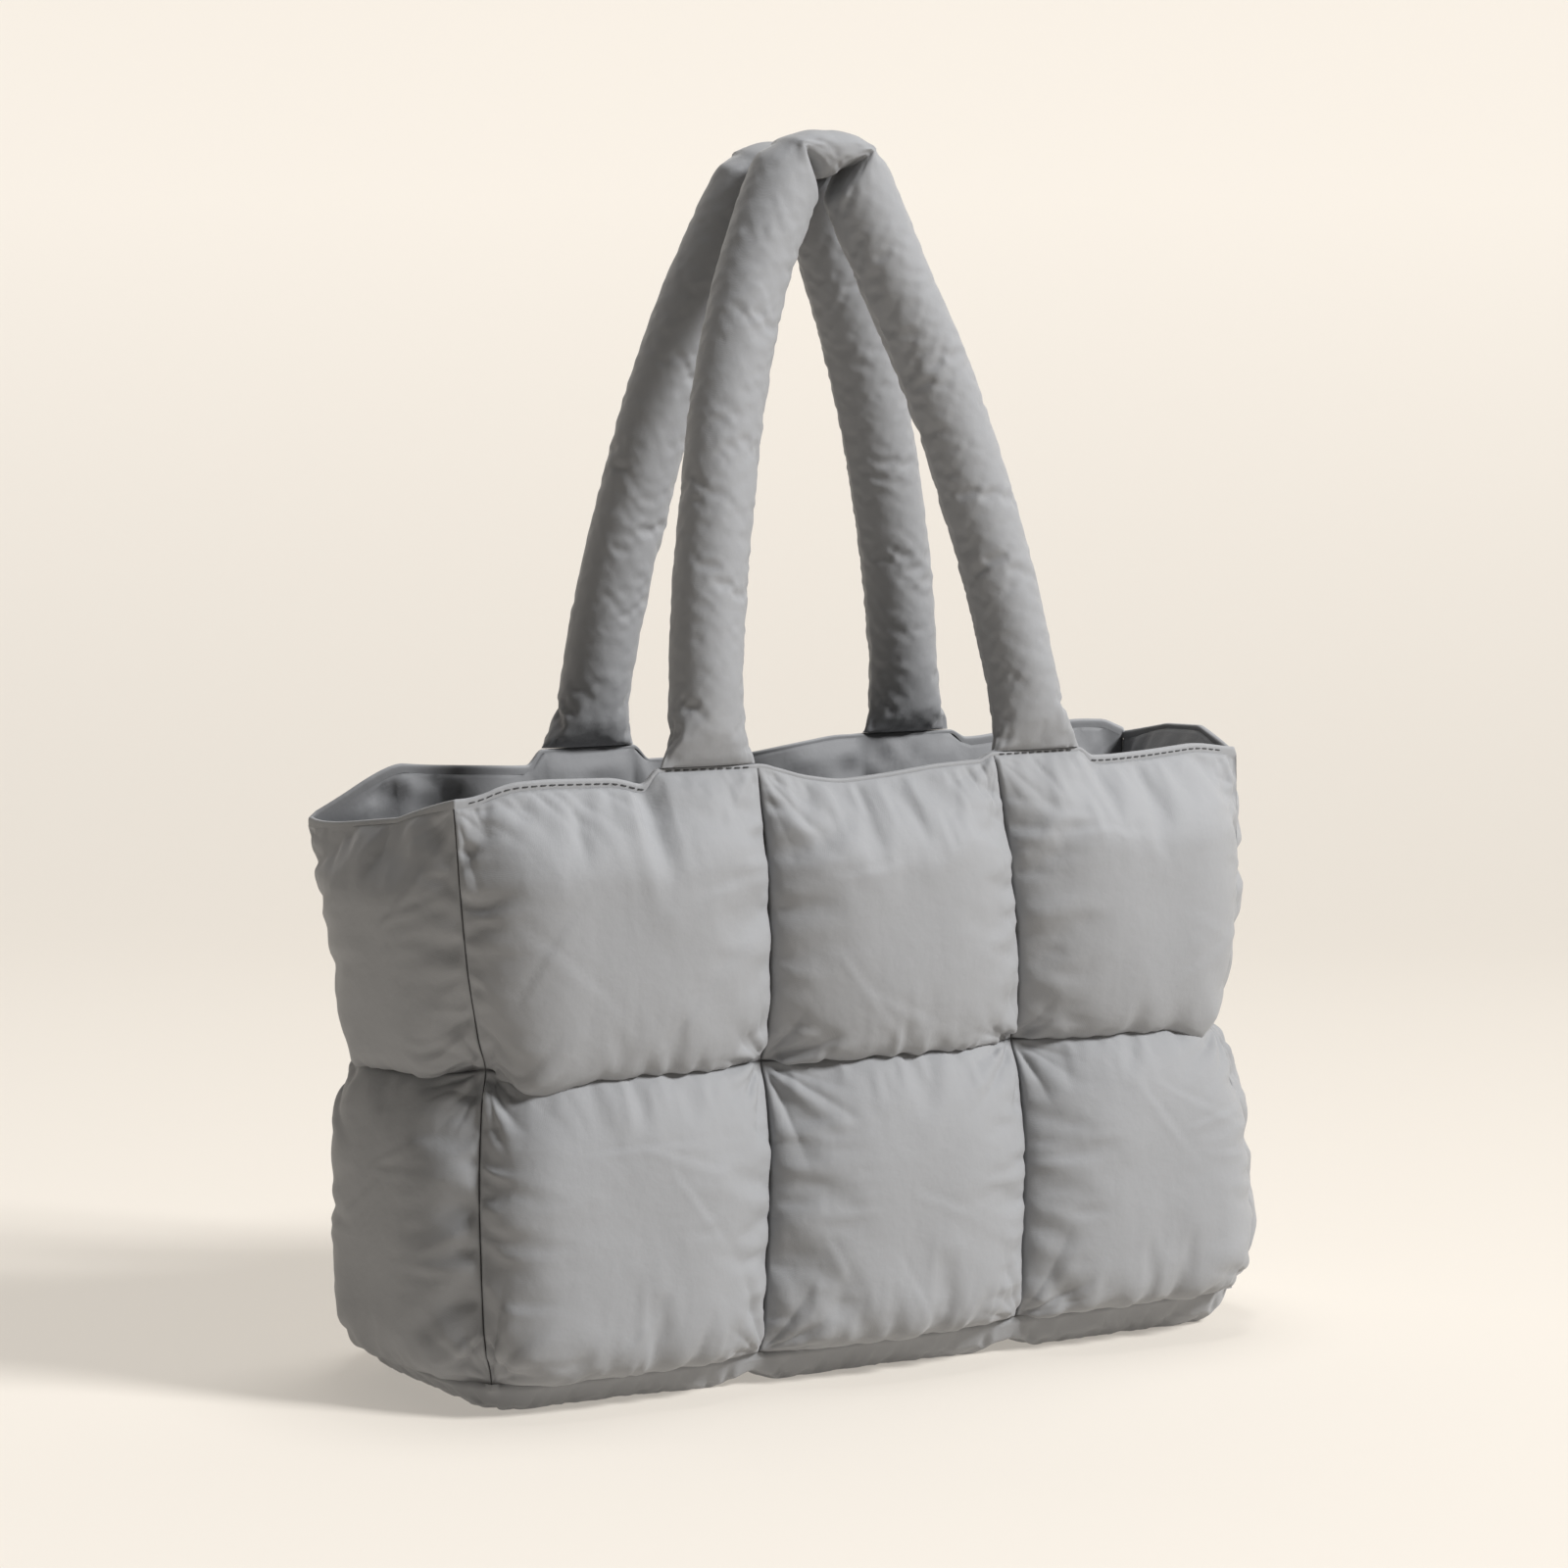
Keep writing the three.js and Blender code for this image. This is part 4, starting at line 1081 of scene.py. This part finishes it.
def creased_lining(wall, points):
    """The lining with the deep folds of the slumped corner."""
    s, h = np.meshgrid(*wall_places(wall, FINER["lining"], SEAM_DENSITY))
    width, _ = cell_widths(wall, s)
    tall = BODY_HEIGHT - ROW_SEAM_HEIGHT
    size = (width[0, -1], tall)
    x, y = s * width, h * tall
    total = np.zeros_like(x)
    for start, end, depth in LINING_CREASES.get(wall, []):
        first, last = np.multiply(start, size), np.multiply(end, size)
        total += crease(x, y, first, last, depth, LINING_CREASE_WIDTH)
    sewn = smooth((2 - h) * tall / (3 * MM))
    return points - (total * sewn)[..., None] * grid_normals(points)


def padded_base(outside, lining, material):
    """The base from its two skins: its underside lies flat on the floor and faces down."""
    outer = refine(outside.filled, outside, *base_places(SKIN_STEPS * FINER["base"], SEAM_DENSITY))
    inner = refine(lining.filled, lining, *base_places(FINER["lining"], SEAM_DENSITY))
    outer[..., 2] = np.maximum(outer[..., 2], 0)
    outer, inner = outer.swapaxes(0, 1), inner.swapaxes(0, 1)
    return padded_piece("base", outer, inner, np.zeros(outer.shape[:2]), material)


def handle_wrinkles(tube, seed):
    """Fine wrinkles that run slantwise round the tube, deepest beside its inner seam, and gathers
    at its ends."""
    columns = tube.shape[1]
    run = run_along(tube.mean(1))
    turn = np.arange(columns) / columns
    girth = math.pi * HANDLE_DIAMETER
    round_way = (np.minimum(turn, 1 - turn) * girth)[None, :]
    side = np.where(turn < 0.5, 0, 7.3)[None, :]
    along = run[:, None]
    first = along * math.cos(WRINKLE_ANGLE) + round_way * math.sin(WRINKLE_ANGLE)
    second = round_way * math.cos(WRINKLE_ANGLE) - along * math.sin(WRINKLE_ANGLE)
    long_patch, round_patch = WRINKLE_PATCH
    spots = noise(along / long_patch + side, round_way / round_patch, seed + 1)
    shown = smooth(0.25 + 1.2 * spots) * (0.2 + 0.8 * np.exp(-(round_way / WRINKLE_REACH) ** 2))
    slanted = shown * folds(first / WRINKLE_WIDTH + side, second / WRINKLE_LENGTH, seed)
    from_end = np.minimum(along, run[-1] - along)
    pleats = folds(round_way / END_GATHER_WIDTH + side, along / END_GATHER_LENGTH, seed + 2)
    gathered = np.exp(-from_end / END_GATHER_REACH) * pleats
    depth = WRINKLE_DEPTH * slanted + END_GATHER_DEPTH * gathered
    around = np.concatenate([tube[:, -1:], tube, tube[:, :1]], axis=1)
    normal = grid_normals(around)[:, 1:-1]
    return tube + (smooth(from_end / (4 * MM)) * depth)[..., None] * normal


def kinked(tube, outer):
    """Folds a handle's inner side sharply in at its two kinks."""
    columns = tube.shape[1]
    run = run_along(tube.mean(1))
    half = run[-1] / 2
    from_kink = np.abs(np.minimum(run, run[-1] - run) - KINK_PLACE * half)
    inner = smooth((1.25 + np.cos(np.arange(columns) / columns * 2 * np.pi)) / 2.25)
    fold = KINK_DEPTH * np.exp(-from_kink / KINK_REACH)
    corner = KINK_CORNER * np.exp(-from_kink / (3 * KINK_REACH))
    push = fold[:, None] * inner[None, :] + corner[:, None] * (1 - inner[None, :])
    return tube + push[..., None] * outer[:, None]


def tube_piece(name, skin, material):
    """A stuffed handle: its filled tube, refined along and around, with a flat cap at each end."""
    filled = np.concatenate([skin.filled, skin.filled[:, :1]], axis=1)
    along = np.linspace(0, 1, len(skin.h_places))
    finer_along = finer_places(along, FINER["handle"])
    ring = np.arange(HANDLE_SIDES + 1) / HANDLE_SIDES
    tall = refine_along(filled, along, finer_along).swapaxes(0, 1)
    tube = refine_along(tall, ring, finer_places(ring, FINER["handle"])).swapaxes(0, 1)[:, :-1]
    tube = kinked(tube, unit(refine_along(skin.outer, along, finer_along)))
    tube = handle_wrinkles(tube, HANDLES[name]["seed"])
    rows, columns = tube.shape[:2]
    faces = grid_faces(rows, columns, around=True).tolist()
    faces.append(list(range(columns))[::-1])
    faces.append(list(range((rows - 1) * columns, rows * columns)))
    obj = make_mesh(f"{name}_handle_tube", tube, faces, material)
    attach(obj, "root")
    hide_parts(f"{name}_handle")
    return obj


def hem_ring():
    """Mouth edge all round: seam points, outward normals, heights of its foot and its top."""
    rings = []
    for wall in WALLS:
        s = wall_places(wall, 4 * SKIN_STEPS)[0][:-1]
        point, normal, _, _ = plan_at(wall, "mouth", s)
        top = mouth_height(wall, s)
        rings.append((point, normal, top - hem_height(wall, s) - SEAM_GAP / 2, top))
    return [np.concatenate(values) for values in zip(*rings)]


# The hem's section: outward in half thicknesses, height as a share of its own, going round
HEM_FACE = np.array([
    (0.98, 0.0), (1.0, 0.1), (1.0, 0.25), (1.02, 0.45), (1.0, 0.7), (0.8, 0.9), (0.4, 1.0),
])
HEM_PROFILE = np.concatenate([HEM_FACE, HEM_FACE[::-1] * (-1, 1)])


def ring_noise(way, middle, radius, seed):
    """Noise that closes on itself, because it is read round a circle."""
    return noise(middle + radius * np.cos(way), middle + radius * np.sin(way), seed)


def mouth_hem(material):
    """The sewn hem: its section carried round the mouth, with a soft ripple in its thickness."""
    point, normal, foot, top = hem_ring()
    count, sides = len(point), len(HEM_PROFILE)
    way = np.arange(count) / count * 2 * np.pi
    ripple = ring_noise(way, 9, 8, 41) + 0.6 * ring_noise(way, 30, 28, 42)
    half = HEM_THICKNESS / 2 * (1 + HEM_RIPPLE * ripple)
    out = HEM_PROFILE[:, 0][None, :] * half[:, None]
    up = HEM_PROFILE[:, 1][None, :] * (top - foot)[:, None]
    plan = point[:, None] + out[..., None] * normal[:, None]
    ring = np.concatenate([plan, (foot[:, None] + up)[..., None]], -1)
    j, i = np.meshgrid(np.arange(count), np.arange(sides), indexing="ij")
    here, beside, turn = j * sides, (j + 1) % count * sides, (i + 1) % sides
    faces = np.stack([here + i, beside + i, beside + turn, here + turn], -1).reshape(-1, 4)
    obj = make_mesh("mouth_hem_band", ring, faces.tolist(), material)
    # Painted shade: the hem's inner side is drawn as dark as the lining.
    darken(obj, np.tile(np.where(HEM_PROFILE[:, 0] < -0.9, LINING_PAINTED_SHADE, 0), count))
    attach(obj, "root")
    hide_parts("mouth_hem")
    return obj


def stitch_row(places, ways, normals):
    """Points and faces of a row of stitches, each a short six-sided bar with tapered ends."""
    turn = np.arange(6) / 6 * 2 * np.pi
    sections = [(-0.5, 0.35), (-0.36, 1.0), (0.36, 1.0), (0.5, 0.35)]
    side = np.cross(normals, ways)
    points = []
    for share, size in sections:
        centre = places + share * STITCH_LENGTH * ways
        ring = np.cos(turn)[None, :, None] * side[:, None] + np.sin(turn)[None, :, None] * normals[:, None]
        points.append(centre[:, None] + size * STITCH_RADIUS * ring)
    points = np.stack(points, axis=1).reshape(-1, 3)
    bar = grid_faces(4, 6, around=True)
    faces = []
    for number in range(len(places)):
        first = 24 * number
        faces += (bar + first).tolist()
        faces.append([first + k for k in range(5, -1, -1)])
        faces.append([first + 18 + k for k in range(6)])
    return points, faces


def even_stitches(path, normals):
    """Stitch middles, directions and normals at an even pitch along a path."""
    run = run_along(path)
    middles = np.arange(STITCH_PITCH, run[-1] - STITCH_PITCH, STITCH_PITCH)
    at, ahead = at_runs(middles, run, path), at_runs(middles + 0.5 * MM, run, path)
    return at, unit(ahead - at), unit(at_runs(middles, run, normals))


def stitches(name, rows, material):
    """One piece of thread for all rows, each a path and its normals."""
    points, faces, first = [], [], 0
    for path, normals in rows:
        row_points, row_faces = stitch_row(*even_stitches(path, normals))
        faces += [[first + k for k in face] for face in row_faces]
        points.append(row_points)
        first += len(row_points)
    obj = make_mesh(name, np.concatenate(points), faces, material)
    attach(obj, "root")
    return obj


def stitch_path(wall, s, drop, off):
    """Path and normals of a row of stitches below the mouth's edge, a little off the hem's face."""
    point, normal, _, _ = plan_at(wall, "mouth", s)
    height = mouth_height(wall, s)[:, None] - drop
    path = np.concatenate([point + (HEM_THICKNESS / 2 + off) * normal, height], -1)
    return path, np.concatenate([normal, 0 * height], -1)


def hem_stitch_rows():
    """Top stitching on the outer cells of the front and back, below the mouth's edge."""
    rows = []
    for wall in HANDLES:
        for cell in (0, 2):
            s = np.linspace(cell + 0.03, cell + 0.97, 200)
            along = plan_at(wall, "mouth", s)[3]
            shown = beside_tab(wall, along)[0] > TAB_FALL / 2
            path, normals = stitch_path(wall, s, HEM_STITCH_DROP, 0.1 * MM)
            rows.append((path[shown], normals[shown]))
    return rows


def handle_stitch_rows():
    """The row of stitches under each end of each handle."""
    rows = []
    for wall in HANDLES:
        edges = column_edges(wall, "mouth")
        half = HANDLE_END_WIDTH / (edges[3] - edges[2])
        for first, last in ((1 - half, 1), (2, 2 + half)):
            rows.append(stitch_path(wall, np.linspace(first, last, 30), HANDLE_STITCH_DROP, 0.15 * MM))
    return rows


def set_sockets(tree, node, sockets):
    """Gives each named socket of a node its value, or a link where the value is another's socket."""
    for name, value in sockets.items():
        if isinstance(value, bpy.types.NodeSocket):
            tree.links.new(value, node.inputs[name])
        else:
            node.inputs[name].default_value = value


def add_node(tree, kind, sockets=None, **settings):
    """A shader node with its settings and its sockets."""
    node = tree.nodes.new(f"ShaderNode{kind}")
    for setting, value in settings.items():
        setattr(node, setting, value)
    set_sockets(tree, node, sockets or {})
    return node


def new_material(name):
    """A material, its tree of nodes, its shader and the object's own coordinates."""
    material = bpy.data.materials.new(name)
    material.use_nodes = True
    tree = material.node_tree
    place = add_node(tree, "TexCoord").outputs["Object"]
    return material, tree, tree.nodes["Principled BSDF"], place


def nylon(name, colour):
    """Thin nylon: its colour shifts a little and darkens towards the thread's colour on the seams' lines,
    which are partly painted shade, and under the painted shade of the lining and the hem's inner side.
    Three bumps lie on one another: thin press lines from a ridged noise, a fine crinkle from a plain
    one, and the weave, a product of two sines across and up."""
    material, tree, shader, place = new_material(name)

    def texture(scale, detail, **settings):
        sockets = {"Scale": scale, "Detail": detail, "Vector": place}
        return add_node(tree, "TexNoise", sockets, **settings).outputs["Fac"]

    def bump(height, strength, distance, **under):
        sockets = {"Height": height, "Strength": strength, "Distance": distance, **under}
        return add_node(tree, "Bump", sockets).outputs["Normal"]

    def calculate(operation, *values):
        return add_node(tree, "Math", dict(enumerate(values)), operation=operation).outputs["Value"]

    def wave(distance):
        return calculate("SINE", calculate("MULTIPLY", distance, 2 * math.pi / WEAVE_PITCH))

    def mixed(share, first, second):
        sockets = {"Factor": share, "A": first, "B": second}
        return add_node(tree, "Mix", sockets, data_type="RGBA").outputs["Result"]

    axes = add_node(tree, "SeparateXYZ", {"Vector": place}).outputs
    weave = calculate("MULTIPLY", wave(calculate("ADD", axes["X"], axes["Y"])), wave(axes["Z"]))
    press = bump(texture(38, 1.5, noise_type="RIDGED_MULTIFRACTAL"), 0.22, 0.5 * MM)
    crumple = bump(texture(170, 4, noise_type="FBM"), 0.45, 0.7 * MM, Normal=press)
    darker, lighter = (*[c * 0.95 for c in colour], 1), (*[c * 1.05 for c in colour], 1)
    # Seam lines and painted shade, read from the attribute, pull the colour towards the thread's.
    line = add_node(tree, "Attribute", attribute_name="seam_thread_and_painted_shade").outputs["Fac"]
    set_sockets(tree, shader, {
        "Base Color": mixed(line, mixed(texture(14, 2), darker, lighter), (*THREAD_COLOUR, 1)),
        "Roughness": CLOTH_ROUGHNESS,
        "Specular IOR Level": 0.3,
        "Sheen Weight": 0.2,
        "Sheen Roughness": 0.35,
        "Normal": bump(weave, 0.25, 0.06 * MM, Normal=crumple),
    })
    return material


def thread_material():
    """Dark grey thread with a fine twist."""
    material, tree, shader, place = new_material("thread")
    twist = add_node(tree, "TexNoise", {"Scale": 2500, "Vector": place}).outputs["Fac"]
    bump = add_node(tree, "Bump", {"Height": twist, "Strength": 0.3, "Distance": 0.1 * MM})
    set_sockets(tree, shader, {
        "Base Color": (*THREAD_COLOUR, 1), "Roughness": 0.7, "Normal": bump.outputs["Normal"],
    })
    return material


def backdrop_paper():
    """Pale paper that glows more up the wall and less towards the light, so that it stays even."""
    material, tree, shader, place = new_material("backdrop_paper")
    axes = add_node(tree, "SeparateXYZ", {"Vector": place}).outputs
    glow = add_node(tree, "MapRange", {
        "Value": axes["Z"], "From Max": BACKDROP_CURVE / 2, "To Min": BACKDROP_GLOW,
        "To Max": BACKDROP_WALL_GLOW,
    })
    even = {0: axes["X"], 1: -BACKDROP_SIDE_FALL, 2: glow.outputs["Result"]}
    set_sockets(tree, shader, {
        "Base Color": (*[BACKDROP_ALBEDO * c for c in BACKDROP_COLOUR], 1),
        "Emission Color": (*BACKDROP_COLOUR, 1),
        "Emission Strength": add_node(tree, "Math", even, operation="MULTIPLY_ADD").outputs["Value"],
        "Roughness": 0.9,
        "Specular IOR Level": 0.1,
    })
    return material


def backdrop():
    """A pale floor that curves up into a wall behind, turned to face the camera."""
    angle = np.linspace(0, math.pi / 2, 16)
    wall = BACKDROP_DEPTH + BACKDROP_CURVE
    out = np.concatenate([[BACKDROP_NEAR], BACKDROP_DEPTH + BACKDROP_CURVE * np.sin(angle), [wall]])
    up = np.concatenate([[0], BACKDROP_CURVE * (1 - np.cos(angle)), [BACKDROP_HALF_WIDTH]])
    side = np.array([-BACKDROP_HALF_WIDTH, BACKDROP_HALF_WIDTH])
    way = np.array([-math.sin(CAMERA_AZIMUTH), math.cos(CAMERA_AZIMUTH)])
    across = np.array([way[1], -way[0]])
    plan = out[:, None, None] * way + side[None, :, None] * across
    points = np.concatenate([plan, np.repeat(up[:, None, None], 2, axis=1)], -1)
    faces = grid_faces(*points.shape[:2]).tolist()
    make_mesh("backdrop", points, faces, backdrop_paper())


def lamp(name, place, size, power):
    """A round area light that faces the bag."""
    light = bpy.data.lights.new(name, "AREA")
    light.shape = "DISK"
    light.size = size
    light.energy = power
    obj = bpy.data.objects.new(name, light)
    obj.location = place
    obj.rotation_euler = (Vector(LAMP_AIM) - Vector(place)).to_track_quat("-Z", "Y").to_euler()
    bpy.context.scene.collection.objects.link(obj)


def studio():
    """Backdrop, a soft key light at the front right, a weak one overhead and an even sky."""
    backdrop()
    for name, values in LAMPS.items():
        lamp(name, **values)
    world = bpy.data.worlds.new("studio")
    world.use_nodes = True
    sky = world.node_tree.nodes["Background"]
    sky.inputs["Color"].default_value = (*SKY_COLOUR, 1)
    sky.inputs["Strength"].default_value = SKY_STRENGTH
    bpy.context.scene.world = world
    bpy.context.scene.view_settings.view_transform = "Standard"


def camera():
    """The photograph's view: from the front left, a little above the floor."""
    data = bpy.data.cameras.new("camera")
    data.lens = CAMERA_LENS
    data.sensor_width = 36
    obj = bpy.data.objects.new("camera", data)
    obj.location = CAMERA_PLACE
    level = math.cos(CAMERA_ELEVATION)
    look = Vector((-math.sin(CAMERA_AZIMUTH) * level, math.cos(CAMERA_AZIMUTH) * level,
                   -math.sin(CAMERA_ELEVATION)))
    obj.rotation_euler = look.to_track_quat("-Z", "Y").to_euler()
    bpy.context.scene.collection.objects.link(obj)
    bpy.context.scene.camera = obj


camera()
studio()
shell = nylon("shell_nylon", SHELL_COLOUR)
handle_cloth = nylon("handle_nylon", HANDLE_COLOUR)
thread = thread_material()
outsides = {wall: wall_skin(wall, 1) for wall in WALLS}
linings = {wall: wall_skin(wall, -1) for wall in WALLS}
outsides["base"], linings["base"] = base_skin(1), base_skin(-1)
tubes = {name: handle_skin(name) for name in HANDLES}
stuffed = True
if stuffed:
    stuff([*outsides.values(), *linings.values(), *tubes.values()])
for number, wall in enumerate(WALLS):
    padded_wall(wall, outsides[wall], linings[wall], shell, stuffed, 10 * number)
padded_base(outsides["base"], linings["base"], shell)
for name, skin in tubes.items():
    tube_piece(name, skin, handle_cloth)
mouth_hem(shell)
stitches("hem_stitches", hem_stitch_rows(), thread)
stitches("handle_stitches", handle_stitch_rows(), thread)
